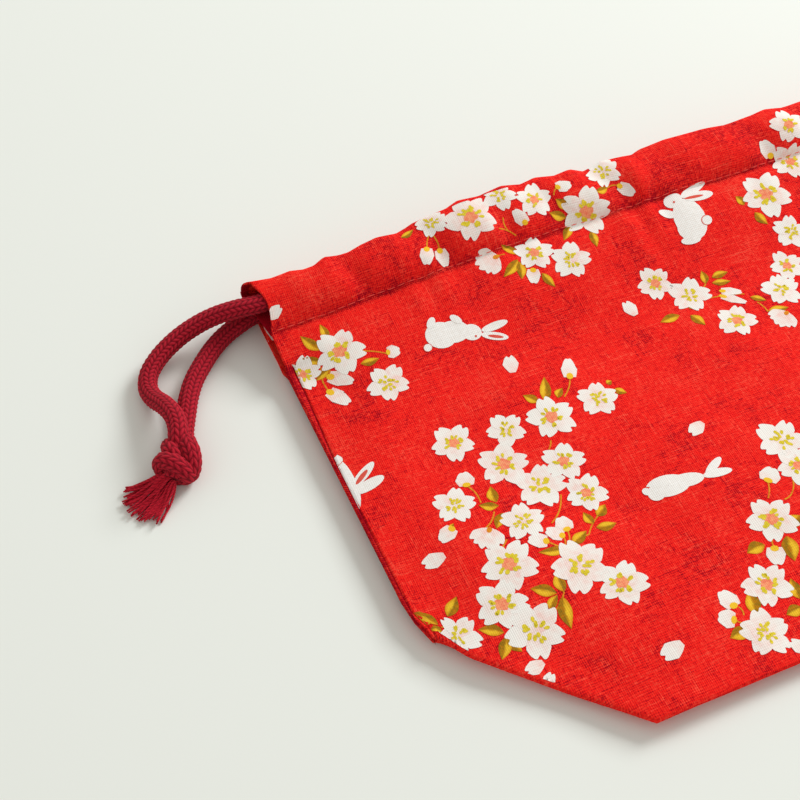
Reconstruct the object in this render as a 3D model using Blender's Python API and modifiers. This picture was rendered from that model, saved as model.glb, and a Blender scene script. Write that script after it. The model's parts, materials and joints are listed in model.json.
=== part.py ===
# Kinchaku: a Japanese drawstring pouch of slub cotton, laid flat with its base folded in.
# X runs along the mouth, +Y from the base to the mouth, +Z up from the table.
# The origin is under the middle of the pouch, on the table.
# One strip of cloth makes front, base and back: a grid of cloth is folded into place,
# its side seams are merged, and Solidify gives it its thickness.
# One cord runs through the front casing, round the right-hand end, back through the
# back casing, and both strands are tied in one knot at the left.

import math

import bmesh
import bpy
from mathutils import Matrix, Vector

MM = 0.001

# The pouch, lying flat
POUCH_WIDTH = 280 * MM
POUCH_HEIGHT = 193 * MM  # base fold to front mouth
GUSSET_DEPTH = 100 * MM  # the base when it is opened out
CLOTH_THICKNESS = 0.6 * MM
INSIDE_HEIGHT = 5.0 * MM  # clear between front and back
BACK_OFFSET = 4 * MM  # the back lies this much further up than the front

# Casings, the hems that hold the cord
CASING_DEPTH = 19 * MM
SLIT_LENGTH = 33 * MM  # open side seam, from the mouth down
CASING_GAP = 0.6 * MM  # front casing over back casing, at the sides
MOUTH_RISE = 4.6 * MM  # how much further the mouth gapes in the middle
MOUTH_PLATEAU = 90 * MM
HEM_GAP = 0.35 * MM  # hem edge to the panel that it is sewn to
MOUTH_FOLD_RADIUS = 0.9 * MM
CASING_RIDGE = 0.8  # where the casing is highest, from the stitches to the mouth
CASING_SWELL = 0.8  # below 1, the casing climbs sooner from its stitches

# Side seams and the folded base
SEAM_LIP = 0.9 * MM
SEAM_LIFT = 1.7 * MM  # the back's rise at the side seams
SEAM_DROP = 1.3 * MM  # the front's fall at the side seams
SEAM_ROLL = 24 * MM
PANEL_RISE = 42 * MM  # the front climbs to its casing over this length
SEAM_RISE = 18 * MM  # and over this one at the side seams

# Gathers
GATHER_HEIGHT = 1.3 * MM
GATHER_PITCH = 16 * MM
WAVE_HEIGHT = 0.5 * MM
WAVE_PITCH = 74 * MM
WAVE_LIFT = 0.8 * MM  # keeps the waved front clear of what lies under it

# Cord
CORD_DIAMETER = 6 * MM
CORD_INSET = 1.2 * CORD_DIAMETER  # its middle, in from the mouth fold
FRONT_CLEARANCE = 1.1 * MM  # over and under the cord in the front casing
BACK_CLEARANCE = 0.6 * MM
CORD_POINT_STEP = 11 * MM
BIGHT_STRAIGHT = 10 * MM  # the cord runs on straight past the right-hand ends
BIGHT_RADIUS = 12.5 * MM
BIGHT_CENTRE = 1.75 * BIGHT_RADIUS  # its middle, past the straight run
BIGHT_HALF_TURN = math.radians(125)
BIGHT_POINTS = 9
BIGHT_FALL = 5  # points that the cord takes to come down on the table
BIGHT_SAG = (0.3 * MM, 1.5 * MM)  # how far it has dropped at the straight run's end, and at the next point
TABLE_GAP = 0.1 * MM
JOIN_GAP = 0.3 * MM

# Knot and tassel
KNOT_WIDTH = 16 * MM
KNOT_LENGTH = 15 * MM
KNOT_LIFT = 2.6 * MM  # the trefoil's path rises and falls by this
KNOT_POINTS = 48
KNOT_CENTRE = (-45.2, -52.8, 5.4)  # from the mouth's left corner, as the strands' points
KNOT_HEADING = math.radians(231)
KNOT_CORE = (0.34 * KNOT_WIDTH, 0.4 * KNOT_LENGTH, KNOT_LIFT + 0.3 * CORD_DIAMETER)
KNOT_VOXEL = 0.95 * MM
TASSEL_LENGTH = 14.5 * MM
TASSEL_WIDTH = 16 * MM
TASSEL_ROOT = 6.5 * MM
TASSEL_TIP_HEIGHT = 2.8 * MM
TASSEL_DROP = 1 * MM  # its root lies this much lower than the knot's middle
TASSEL_GROOVE = 0.3
TASSEL_NOTCH = 0.16  # every other thread is shorter by this share
TASSEL_ROUNDING = 0.13  # and the fan's sides by this one
TASSEL_UNEVEN = 0.07
TASSEL_SPREAD = 1.3  # over 1, the fan opens later
TASSEL_THREADS = 22
TASSEL_RINGS = 8
TASSEL_HEADING = math.radians(209)

# Mesh: columns across the pouch, rows down each stretch of the section
COLUMNS = 54
HEM_ROWS = 2
FOLD_ROWS = 3
CASING_ROWS = 6
SLIT_ROWS = 2
PANEL_ROWS = 6
GUSSET_ROWS = 2

# Worked out from the sizes above
HALF_WIDTH = POUCH_WIDTH / 2
GUSSET_HALF = GUSSET_DEPTH / 2
BASE_HALF = HALF_WIDTH - GUSSET_HALF
CORD_RADIUS = CORD_DIAMETER / 2
BACK_LEVEL = CLOTH_THICKNESS / 2
FRONT_LEVEL = BACK_LEVEL + CLOTH_THICKNESS + INSIDE_HEIGHT
HEM_SPACING = CLOTH_THICKNESS + HEM_GAP
BACK_HUMP = CLOTH_THICKNESS + 2 * BACK_CLEARANCE + CORD_DIAMETER
FRONT_HUMP = CLOTH_THICKNESS + 2 * FRONT_CLEARANCE + CORD_DIAMETER
FRONT_CASING_LEVEL = BACK_LEVEL + BACK_HUMP + CLOTH_THICKNESS + CASING_GAP
MIDDLE_Y = (POUCH_HEIGHT + BACK_OFFSET) / 2
FRONT_CORD_Z = FRONT_CASING_LEVEL + FRONT_HUMP / 2
BACK_CORD_Z = BACK_LEVEL + BACK_HUMP / 2
CORD_Y = POUCH_HEIGHT - CORD_INSET
CORD_ON_TABLE = CORD_RADIUS + TABLE_GAP
SIDE_ROWS = HEM_ROWS + 2 * FOLD_ROWS + CASING_ROWS + SLIT_ROWS + PANEL_ROWS + GUSSET_ROWS
ROWS = 2 * SIDE_ROWS + FOLD_ROWS + 1

# The strands from the casings' left ends to the knot, chosen by hand from the way they
# lie: sideways and up from the mouth's left corner, and the height over the table.
FRONT_STRAND = [
    (-8, -5.9, 13.1), (-15, -4.4, 11.4), (-22, -4.0, 9.3), (-29.5, -5.2, 7.1), (-36.8, -8.4, 5.2),
    (-42.4, -13.2, 3.9), (-44.8, -19, 3.5), (-44.4, -25, 4.8), (-42.6, -31, 7.4), (-41.4, -37.4, 9.4),
    (-41.6, -42.4, 9.6), (-42.8, -46.5, 9.3),
]
BACK_STRAND = [
    (-7, -4.6, 3.8), (-13.5, -7.0, 3.1), (-19.5, -11.2, 3.1), (-25, -16.4, 3.1), (-29.8, -21.8, 3.1),
    (-33.6, -27.8, 3.1), (-36.6, -34, 3.1), (-39.4, -40.2, 3.15), (-41.6, -46.4, 3.25),
]


def ease(share):
    """Smooth step: 0 below 0, 1 above 1, level at both ends."""
    share = min(1.0, max(0.0, share))
    return share * share * (3 - 2 * share)


def mix(a, b, share):
    return a + (b - a) * share


def mouth_rise(x):
    """How much higher the front casing lies at x than at the sides."""
    run = HALF_WIDTH - MOUTH_PLATEAU / 2
    return MOUTH_RISE * ease((HALF_WIDTH - abs(x)) / run)


def gather(x):
    """The height of the gathers of the casing at x, from 0 up."""
    turn = 2 * math.pi * x / GATHER_PITCH
    uneven = 0.6 + 0.4 * math.sin(0.23 * turn + 1.3)
    return GATHER_HEIGHT * uneven * (0.5 + 0.5 * math.sin(turn + 1.7 * math.sin(0.37 * turn)))


def wave(x, y):
    """The broad, shallow waves of a cloth that has been laid down."""
    turn = 2 * math.pi / WAVE_PITCH
    crossed = math.sin(turn * x + 1.1) * math.sin(0.8 * turn * y)
    return WAVE_HEIGHT * (crossed + 0.6 * math.sin(turn * (0.6 * x - y)))


def casing_hump(share, top):
    """The height of a casing's domed layer over its flat one; share is 0 at the stitches, 1 at the mouth.

    It climbs from the stitches to a ridge near the mouth, and falls round the cord to the mouth fold.
    """
    if share < CASING_RIDGE:
        return mix(HEM_SPACING, top, math.sin(math.pi / 2 * max(0.0, share) / CASING_RIDGE) ** CASING_SWELL)
    fall = min(1.0, (share - CASING_RIDGE) / (1 - CASING_RIDGE))
    return mix(2 * MOUTH_FOLD_RADIUS, top, math.sqrt(1 - fall**2))


def side_share(x):
    """0 in the middle of the pouch, 1 at its side seams."""
    return ease((abs(x) - (HALF_WIDTH - SEAM_ROLL)) / SEAM_ROLL)


def base_line(x):
    """The lower outline: the base fold, then the slanted corner of the folded gusset."""
    return max(0.0, abs(x) - BASE_HALF)


def back_height(x, seam):
    """The back panel's height; seam is 1 below the slit and 0 along it."""
    return BACK_LEVEL + SEAM_LIFT * side_share(x) * seam


def front_height(x, y, seam):
    """The front panel's height, from the base up to its casing."""
    stitches = FRONT_CASING_LEVEL + mouth_rise(x) + HEM_SPACING
    side = side_share(x)
    run = mix(PANEL_RISE, SEAM_RISE, side)
    climb = ease((y - (POUCH_HEIGHT - CASING_DEPTH - run)) / run)
    low = FRONT_LEVEL - SEAM_DROP * side * seam + WAVE_LIFT
    return mix(low + wave(x, y) * (1 - side), stitches, climb) + gather(x) * climb**2 * (1 - side)


def front_casing(x):
    """The front hem edge, up the inner layer, round the mouth, down the outer layer to the stitches."""
    low, mouth = FRONT_CASING_LEVEL + mouth_rise(x), POUCH_HEIGHT
    stitches = mouth - CASING_DEPTH
    turn = mouth - MOUTH_FOLD_RADIUS
    points = [(mix(stitches + HEM_GAP, turn, i / HEM_ROWS), low) for i in range(HEM_ROWS)]
    points += arc(turn, low, low + 2 * MOUTH_FOLD_RADIUS, MOUTH_FOLD_RADIUS)
    for i in range(1, CASING_ROWS + 1):
        share = 1 - i / CASING_ROWS
        folds = gather(x) * (1 - side_share(x)) * math.cos(math.pi * share / 2)
        points.append((mix(stitches, turn, share), low + casing_hump(share, FRONT_HUMP) + folds))
    return points


def back_casing(x):
    """The back's outer layer up from the stitches, round the mouth, down the inner one to the hem."""
    mouth = POUCH_HEIGHT + BACK_OFFSET
    stitches = mouth - CASING_DEPTH
    turn = mouth - MOUTH_FOLD_RADIUS
    points = [(mix(stitches, turn, i / HEM_ROWS), BACK_LEVEL) for i in range(HEM_ROWS)]
    points += arc(turn, BACK_LEVEL, BACK_LEVEL + 2 * MOUTH_FOLD_RADIUS, MOUTH_FOLD_RADIUS)
    for i in range(1, CASING_ROWS + 1):
        share = 1 - i / CASING_ROWS
        points.append((mix(stitches + HEM_GAP, turn, share), BACK_LEVEL + casing_hump(share, BACK_HUMP)))
    return points


def arc(y, start, end, reach):
    """A fold: a half ellipse from height start to height end, which bulges by reach from y."""
    middle, half = (start + end) / 2, (start - end) / 2
    angles = [math.pi * i / FOLD_ROWS for i in range(FOLD_ROWS + 1)]
    return [(y + reach * math.sin(a), middle + half * math.cos(a)) for a in angles]


def base_folds(x, front, back):
    """Round the front fold, up to the crease, back down and round the back fold, as an M on its side."""
    low_y = base_line(x)
    depth = max(0.0, GUSSET_HALF - low_y)
    step = (front - back) / 3
    reach = min(step / 2, depth / 4)
    heights = [front, front - step, back + step, back]
    points = arc(low_y + reach, heights[0], heights[1], -reach)
    points += straight(points[-1], (low_y + depth - reach, heights[1]), GUSSET_ROWS)[1:-1]
    points += arc(low_y + depth - reach, heights[1], heights[2], reach)
    points += straight(points[-1], (low_y + reach, heights[2]), GUSSET_ROWS)[1:-1]
    points += arc(low_y + reach, heights[2], heights[3], -reach)
    return points


def straight(start, end, rows):
    return [(mix(start[0], end[0], i / rows), mix(start[1], end[1], i / rows)) for i in range(rows + 1)]


def section(x):
    """The whole cloth at one x as (y, height) points, and which of them the side seam joins."""
    slit = POUCH_HEIGHT - SLIT_LENGTH
    front = front_casing(x)
    for i in range(1, SLIT_ROWS + 1):
        y = mix(POUCH_HEIGHT - CASING_DEPTH, slit, i / SLIT_ROWS)
        front.append((y, front_height(x, y, i == SLIT_ROWS)))
    first_seam = len(front) - 1
    low_y = base_line(x)
    depth = max(0.0, GUSSET_HALF - low_y)
    front_low = front_height(x, low_y, 1)
    back_low = back_height(x, 1)
    reach = min((front_low - back_low) / 6, depth / 4)
    levels = [mix(slit, low_y + reach, i / PANEL_ROWS) for i in range(1, PANEL_ROWS)]
    front += [(y, front_height(x, y, 1)) for y in levels]
    folds = base_folds(x, front_low, back_low)
    back = [(y, back_height(x, 1)) for y in reversed(levels)] + [(slit, back_height(x, 1))]
    last_seam = len(front) + len(folds) + len(back) - 1
    stitches = POUCH_HEIGHT + BACK_OFFSET - CASING_DEPTH
    for i in range(1, SLIT_ROWS):
        back.append((mix(slit, stitches, i / SLIT_ROWS), back_height(x, 0)))
    back += back_casing(x)
    return front + folds + back, first_seam, last_seam


def fold_cloth(mesh):
    """Folds a flat grid of cloth, -1 to 1 each way, into the pouch and sews its side seams."""
    for vertex in mesh.verts:
        column = round((vertex.co.x + 1) / 2 * (COLUMNS + 2))
        row = round((vertex.co.y + 1) / 2 * (ROWS - 1))
        across = min(COLUMNS, max(0, column - 1))
        x = mix(-HALF_WIDTH, HALF_WIDTH, across / COLUMNS)
        points, first, last = section(x)
        y, z = points[row]
        if column in (0, COLUMNS + 2):
            x += math.copysign(SEAM_LIP, x)
            if first <= row <= last:
                y = max(y, GUSSET_HALF)
                z = (points[row][1] + points[first + last - row][1]) / 2
        vertex.co = (x, y - MIDDLE_Y, z)
    bmesh.ops.remove_doubles(mesh, verts=mesh.verts, dist=0.01 * MM)
    bmesh.ops.dissolve_degenerate(mesh, edges=mesh.edges, dist=0.001 * MM)
    bmesh.ops.recalc_face_normals(mesh, faces=mesh.faces)


def smooth_route(points, step):
    """A Catmull-Rom curve through the points, read off about every step."""
    ends = [2 * points[0] - points[1]] + points + [2 * points[-1] - points[-2]]
    route = []
    for a, b, c, d in zip(ends, ends[1:], ends[2:], ends[3:]):
        parts = max(1, round((c - b).length / step))
        for i in range(parts):
            t = i / parts
            route.append(0.5 * (2 * b + (c - a) * t + (2 * a - 5 * b + 4 * c - d) * t**2
                                + (3 * b - a - 3 * c + d) * t**3))
    return route + [points[-1]]


def from_mouth(points):
    """Places given from the mouth's left corner, as vectors in the pouch's frame."""
    return [Vector((x * MM - HALF_WIDTH, y * MM + POUCH_HEIGHT - MIDDLE_Y, z * MM)) for x, y, z in points]


def casing_run(y, height, rising):
    """The cord inside a casing, left to right."""
    end = HALF_WIDTH + SEAM_LIP
    count = round(2 * end / (2 * CORD_POINT_STEP))
    xs = [mix(-end, end, i / count) for i in range(count + 1)]
    return [Vector((x, y - MIDDLE_Y, height + (mouth_rise(x) if rising else 0))) for x in xs]


def bight():
    """The open loop of cord past the right-hand ends, from the front casing to the back one."""
    start = HALF_WIDTH + SEAM_LIP + BIGHT_STRAIGHT
    front_y, back_y = CORD_Y - MIDDLE_Y, CORD_Y + BACK_OFFSET - MIDDLE_Y
    centre = Vector((start + BIGHT_CENTRE, (front_y + back_y) / 2))
    points = [Vector((start, front_y, FRONT_CORD_Z - BIGHT_SAG[0]))]
    for i in range(BIGHT_POINTS):
        angle = mix(-BIGHT_HALF_TURN, BIGHT_HALF_TURN, i / (BIGHT_POINTS - 1))
        height = mix(FRONT_CORD_Z - BIGHT_SAG[1], CORD_ON_TABLE, ease(i / BIGHT_FALL))
        points.append(Vector((centre.x + BIGHT_RADIUS * math.cos(angle),
                              centre.y + BIGHT_RADIUS * math.sin(angle), height)))
    return points + [Vector((start, back_y, BACK_CORD_Z))]


def cord_route():
    """Knot, front strand, front casing, bight, back casing, back strand, knot."""
    front = casing_run(CORD_Y, FRONT_CORD_Z, True)
    back = casing_run(CORD_Y + BACK_OFFSET, BACK_CORD_Z, False)
    points = from_mouth(reversed(FRONT_STRAND)) + front + bight() + back[::-1] + from_mouth(BACK_STRAND)
    return smooth_route(points, CORD_POINT_STEP)


def tube(name, points, radius, sides=2):
    """A round cord along the points, with closed ends."""
    data = bpy.data.curves.new(name, "CURVE")
    data.dimensions = "3D"
    data.bevel_depth = radius
    data.bevel_resolution = sides
    data.use_fill_caps = True
    spline = data.splines.new("POLY")
    spline.points.add(len(points) - 1)
    for point, place in zip(spline.points, points):
        point.co = (*place, 1)
    return bpy.data.objects.new(name, data)


def knot_route():
    """The overhand knot's path, drawn flat and tight: a trefoil round the knot's middle."""
    points = []
    for i in range(KNOT_POINTS + 1):
        turn = 2 * math.pi * i / KNOT_POINTS
        across = (math.sin(turn) + 2 * math.sin(2 * turn)) / 3
        along = (math.cos(turn) - 2 * math.cos(2 * turn)) / 3
        points.append(Vector((across * (KNOT_WIDTH / 2 - CORD_RADIUS),
                              along * (KNOT_LENGTH / 2 - CORD_RADIUS), -math.sin(3 * turn) * KNOT_LIFT)))
    return points


def make_knot():
    """The tight knot: the trefoil's tube and the cord caught inside it, merged into one skin."""
    coil = tube("knot_coil", knot_route(), CORD_RADIUS)
    mesh = bpy.data.meshes.new_from_object(coil)
    bpy.data.objects.remove(coil)
    body = bmesh.new()
    body.from_mesh(mesh)
    core = Matrix.Diagonal((*KNOT_CORE, 1))
    bmesh.ops.create_icosphere(body, subdivisions=3, radius=1, matrix=core)
    body.to_mesh(mesh)
    body.free()
    knot = bpy.data.objects.new("cord_knot", mesh)
    knot.rotation_euler.z = KNOT_HEADING + math.pi / 2
    knot.location = from_mouth([KNOT_CENTRE])[0]
    remesh = knot.modifiers.new("one_skin", "REMESH")
    remesh.mode = "VOXEL"
    remesh.voxel_size = KNOT_VOXEL
    remesh.use_smooth_shade = True
    return knot


def tassel_ring(share):
    """One ring of the frayed end: a round root that opens into a flat fan of threads."""
    open_share = share**TASSEL_SPREAD
    half_width = mix(TASSEL_ROOT, TASSEL_WIDTH, open_share) / 2
    half_height = mix(TASSEL_ROOT, TASSEL_TIP_HEIGHT, open_share) / 2
    middle = mix(KNOT_CENTRE[2] * MM - TASSEL_DROP, half_height + TABLE_GAP, ease(share * 1.4))
    ring = []
    for i in range(2 * TASSEL_THREADS):
        angle = math.pi * i / TASSEL_THREADS
        groove = 1 - TASSEL_GROOVE * share * (i % 2)
        rounding = TASSEL_ROUNDING * share * abs(math.cos(angle)) ** 3
        reach = TASSEL_LENGTH * (1 - TASSEL_NOTCH * (i % 2) * share**4 - rounding)
        uneven = 1 + TASSEL_UNEVEN * share * math.sin(5.1 * i)
        ring.append(Vector((share * reach * uneven, half_width * groove * math.cos(angle),
                            middle + half_height * groove * math.sin(angle))))
    return ring


def make_tassel():
    """The cord's frayed ends below the knot, lofted from ring to ring."""
    mesh = bmesh.new()
    shares = [i / TASSEL_RINGS for i in range(TASSEL_RINGS + 1)]
    rings = [[mesh.verts.new(place) for place in tassel_ring(share)] for share in shares]
    count = len(rings[0])
    for lower, upper in zip(rings, rings[1:]):
        for i in range(count):
            j = (i + 1) % count
            mesh.faces.new((lower[i], lower[j], upper[j], upper[i]))
    for ring in (rings[0], rings[-1]):
        middle = sum((vertex.co for vertex in ring), Vector()) / count
        hub = mesh.verts.new(middle)
        for i in range(count):
            mesh.faces.new((ring[i], ring[(i + 1) % count], hub))
    bmesh.ops.recalc_face_normals(mesh, faces=mesh.faces)
    tassel = object_from("cord_tassel", mesh)
    root = Vector((math.cos(KNOT_HEADING), math.sin(KNOT_HEADING), 0)) * (KNOT_LENGTH / 2 + JOIN_GAP)
    tassel.location = from_mouth([KNOT_CENTRE])[0] + root
    tassel.location.z = 0
    tassel.rotation_euler.z = TASSEL_HEADING
    return tassel


def object_from(name, mesh):
    """A named object that holds the finished bmesh."""
    data = bpy.data.meshes.new(name)
    mesh.to_mesh(data)
    mesh.free()
    return bpy.data.objects.new(name, data)


def make_cloth():
    """The sewn and folded cloth, with its thickness."""
    mesh = bmesh.new()
    bmesh.ops.create_grid(mesh, x_segments=COLUMNS + 2, y_segments=ROWS - 1, size=1)
    fold_cloth(mesh)
    cloth = object_from("pouch_cloth", mesh)
    cloth.data.shade_smooth()
    wall = cloth.modifiers.new("cloth_thickness", "SOLIDIFY")
    wall.thickness = CLOTH_THICKNESS
    wall.offset = 0
    wall.use_even_offset = True
    return cloth


def material(name, colour, roughness):
    """A plain cloth or cord finish."""
    made = bpy.data.materials.new(name)
    made.use_nodes = True
    shader = made.node_tree.nodes["Principled BSDF"]
    shader.inputs["Base Color"].default_value = (*colour, 1)
    shader.inputs["Roughness"].default_value = roughness
    shader.inputs["Metallic"].default_value = 0
    return made


def main():
    for item in list(bpy.data.objects):
        bpy.data.objects.remove(item)
    pouch = bpy.data.collections.new("kinchaku_pouch")
    bpy.context.scene.collection.children.link(pouch)
    cotton = material("red_slub_cotton", (0.78, 0.014, 0.012), 0.85)
    braid = material("crimson_braid", (0.33, 0.006, 0.022), 0.75)
    pieces = [
        (make_cloth(), cotton),
        (tube("drawstring", cord_route(), CORD_RADIUS), braid),
        (make_knot(), braid),
        (make_tassel(), braid),
    ]
    for piece, finish in pieces:
        piece.data.materials.clear()
        piece.data.materials.append(finish)
        pouch.objects.link(piece)


main()
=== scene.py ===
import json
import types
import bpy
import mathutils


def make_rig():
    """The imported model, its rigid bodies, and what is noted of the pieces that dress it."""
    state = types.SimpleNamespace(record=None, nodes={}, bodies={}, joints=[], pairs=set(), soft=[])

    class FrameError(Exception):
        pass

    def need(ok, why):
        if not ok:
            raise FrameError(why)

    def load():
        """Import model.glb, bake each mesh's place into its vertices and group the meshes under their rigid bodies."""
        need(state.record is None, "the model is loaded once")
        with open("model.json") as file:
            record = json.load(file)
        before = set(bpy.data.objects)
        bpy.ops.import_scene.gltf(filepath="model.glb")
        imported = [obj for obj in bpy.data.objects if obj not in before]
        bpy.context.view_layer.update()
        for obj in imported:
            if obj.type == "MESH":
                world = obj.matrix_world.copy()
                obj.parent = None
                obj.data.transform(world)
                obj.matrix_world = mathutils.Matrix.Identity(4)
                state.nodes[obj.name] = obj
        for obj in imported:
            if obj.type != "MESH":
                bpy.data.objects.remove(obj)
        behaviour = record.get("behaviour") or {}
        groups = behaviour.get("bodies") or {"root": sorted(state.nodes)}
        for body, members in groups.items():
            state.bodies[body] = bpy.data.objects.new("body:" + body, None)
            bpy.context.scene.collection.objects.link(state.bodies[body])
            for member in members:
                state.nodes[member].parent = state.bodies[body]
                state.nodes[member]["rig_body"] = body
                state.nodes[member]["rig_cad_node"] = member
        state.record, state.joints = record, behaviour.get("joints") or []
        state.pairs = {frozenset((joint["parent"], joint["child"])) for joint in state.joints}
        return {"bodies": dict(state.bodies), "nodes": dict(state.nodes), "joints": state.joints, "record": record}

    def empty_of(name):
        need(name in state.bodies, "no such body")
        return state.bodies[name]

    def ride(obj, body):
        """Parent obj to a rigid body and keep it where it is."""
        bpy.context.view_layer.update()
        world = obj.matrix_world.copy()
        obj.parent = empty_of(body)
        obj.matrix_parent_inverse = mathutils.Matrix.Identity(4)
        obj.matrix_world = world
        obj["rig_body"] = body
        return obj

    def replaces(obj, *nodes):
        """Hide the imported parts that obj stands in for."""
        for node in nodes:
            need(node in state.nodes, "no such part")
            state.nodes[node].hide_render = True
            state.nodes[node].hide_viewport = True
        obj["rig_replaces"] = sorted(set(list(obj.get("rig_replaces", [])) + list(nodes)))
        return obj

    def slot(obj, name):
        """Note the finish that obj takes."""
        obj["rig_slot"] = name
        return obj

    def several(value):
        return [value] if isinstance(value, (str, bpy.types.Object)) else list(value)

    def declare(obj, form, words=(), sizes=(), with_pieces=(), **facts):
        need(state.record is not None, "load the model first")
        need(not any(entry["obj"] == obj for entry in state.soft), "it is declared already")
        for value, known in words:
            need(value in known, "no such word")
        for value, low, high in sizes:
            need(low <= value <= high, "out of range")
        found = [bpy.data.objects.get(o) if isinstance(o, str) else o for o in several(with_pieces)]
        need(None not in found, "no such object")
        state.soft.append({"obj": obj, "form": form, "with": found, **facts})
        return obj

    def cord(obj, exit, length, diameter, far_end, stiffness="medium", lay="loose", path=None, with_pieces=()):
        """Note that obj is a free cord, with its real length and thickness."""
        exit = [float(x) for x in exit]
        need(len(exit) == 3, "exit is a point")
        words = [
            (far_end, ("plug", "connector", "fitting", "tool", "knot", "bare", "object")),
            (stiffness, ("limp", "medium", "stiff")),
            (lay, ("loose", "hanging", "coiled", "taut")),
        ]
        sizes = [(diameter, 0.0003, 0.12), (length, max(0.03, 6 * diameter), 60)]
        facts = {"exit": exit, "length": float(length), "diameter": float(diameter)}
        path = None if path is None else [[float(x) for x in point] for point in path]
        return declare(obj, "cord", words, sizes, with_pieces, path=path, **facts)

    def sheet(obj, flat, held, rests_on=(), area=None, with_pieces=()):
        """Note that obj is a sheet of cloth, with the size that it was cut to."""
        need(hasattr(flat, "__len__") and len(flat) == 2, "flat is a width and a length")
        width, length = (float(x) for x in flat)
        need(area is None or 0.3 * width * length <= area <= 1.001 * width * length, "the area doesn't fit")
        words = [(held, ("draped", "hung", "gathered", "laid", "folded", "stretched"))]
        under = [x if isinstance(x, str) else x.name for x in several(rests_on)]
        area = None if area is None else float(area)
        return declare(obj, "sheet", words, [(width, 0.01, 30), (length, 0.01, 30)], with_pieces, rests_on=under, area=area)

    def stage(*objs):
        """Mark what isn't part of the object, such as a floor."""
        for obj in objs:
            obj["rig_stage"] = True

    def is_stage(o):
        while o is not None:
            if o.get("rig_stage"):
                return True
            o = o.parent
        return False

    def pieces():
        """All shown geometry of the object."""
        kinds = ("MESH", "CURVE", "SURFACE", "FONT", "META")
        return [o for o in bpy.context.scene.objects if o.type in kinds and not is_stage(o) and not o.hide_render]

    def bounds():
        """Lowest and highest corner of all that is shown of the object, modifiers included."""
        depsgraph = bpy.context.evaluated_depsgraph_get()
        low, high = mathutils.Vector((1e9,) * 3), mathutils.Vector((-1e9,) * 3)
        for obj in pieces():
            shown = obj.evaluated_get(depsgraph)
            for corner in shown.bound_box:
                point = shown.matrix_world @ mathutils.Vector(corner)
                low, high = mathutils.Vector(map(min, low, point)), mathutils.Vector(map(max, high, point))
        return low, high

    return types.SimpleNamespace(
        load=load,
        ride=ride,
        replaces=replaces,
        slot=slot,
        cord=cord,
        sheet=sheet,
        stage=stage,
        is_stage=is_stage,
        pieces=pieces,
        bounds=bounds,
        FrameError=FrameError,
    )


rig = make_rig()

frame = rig.load()

# Kinchaku pouch of printed red slub cotton, laid flat, with its knotted cord loose at the left.
# X runs along the mouth, +Y from the base to the mouth, +Z up from the table.
# Shapes are worked out in millimetres, and makePiece turns them into metres.

import json
import math

import bmesh
import bpy
import numpy as np
from mathutils import Vector

cadBox = [list(corner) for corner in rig.bounds()]


# Small helpers on whole arrays

def mix(a, b, share):
    return a + (b - a) * share


def ease(share):
    # 3 t^2 - 2 t^3: 0 and 1 at the ends, level at both
    t = np.clip(share, 0.0, 1.0)
    return t * t * (3 - 2 * t)


def bell(x, middle, width):
    # exp(-((x - middle) / width)^2)
    return np.exp(-(((x - middle) / width) ** 2))


def unit(v):
    return v / np.linalg.norm(v, axis=-1, keepdims=True)


def hills(x, y, pitch, seed):
    # value noise: random heights on a square lattice of that pitch, eased between, from -1 to 1
    lattice = np.random.default_rng(seed).uniform(-1, 1, (64, 64))
    u, v = np.broadcast_arrays(x / pitch, y / pitch)
    i = np.floor(u).astype(int)
    j = np.floor(v).astype(int)
    s = ease(u - i)
    t = ease(v - j)
    near = mix(lattice[i % 64, j % 64], lattice[(i + 1) % 64, j % 64], s)
    far = mix(lattice[i % 64, (j + 1) % 64], lattice[(i + 1) % 64, (j + 1) % 64], s)
    return mix(near, far, t)


def gridFaces(rows, columns, closed=False):
    # quads between neighbouring rows; closed joins the last column to the first
    r, c = np.meshgrid(np.arange(rows - 1), np.arange(columns - (not closed)), indexing="ij")
    r, c = r.ravel(), c.ravel()
    n = (c + 1) % columns
    return np.stack([r * columns + c, r * columns + n, (r + 1) * columns + n, (r + 1) * columns + c], 1)


def makePiece(name, points, faces, finish, body, uv=None, marks=None, smooth=True):
    # a mesh from arrays: points in mm, faces as rows of indices, uv per point or per face corner
    mesh = bpy.data.meshes.new(name)
    mesh.from_pydata((np.asarray(points).reshape(-1, 3) * 0.001).tolist(), [], faces.tolist())
    if uv is not None:
        if len(uv) == len(mesh.vertices):
            uv = uv[faces.ravel()]
        mesh.uv_layers.new(name="laid").data.foreach_set("uv", np.asarray(uv, np.float32).ravel())
    for mark, values in (marks or {}).items():
        layer = mesh.attributes.new(mark, "FLOAT", "POINT")
        layer.data.foreach_set("value", np.asarray(values, np.float32).ravel())
    mesh.polygons.foreach_set("use_smooth", np.full(len(mesh.polygons), smooth))
    mesh.materials.append(finish)
    mesh.update()
    piece = bpy.data.objects.new(name, mesh)
    bpy.context.scene.collection.objects.link(piece)
    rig.ride(piece, body)
    return piece


def standFor(piece, node, slot):
    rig.replaces(piece, node)
    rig.slot(piece, slot)


# Camera: a 67.5 mm lens from the front left, 52 degrees above the table

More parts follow.
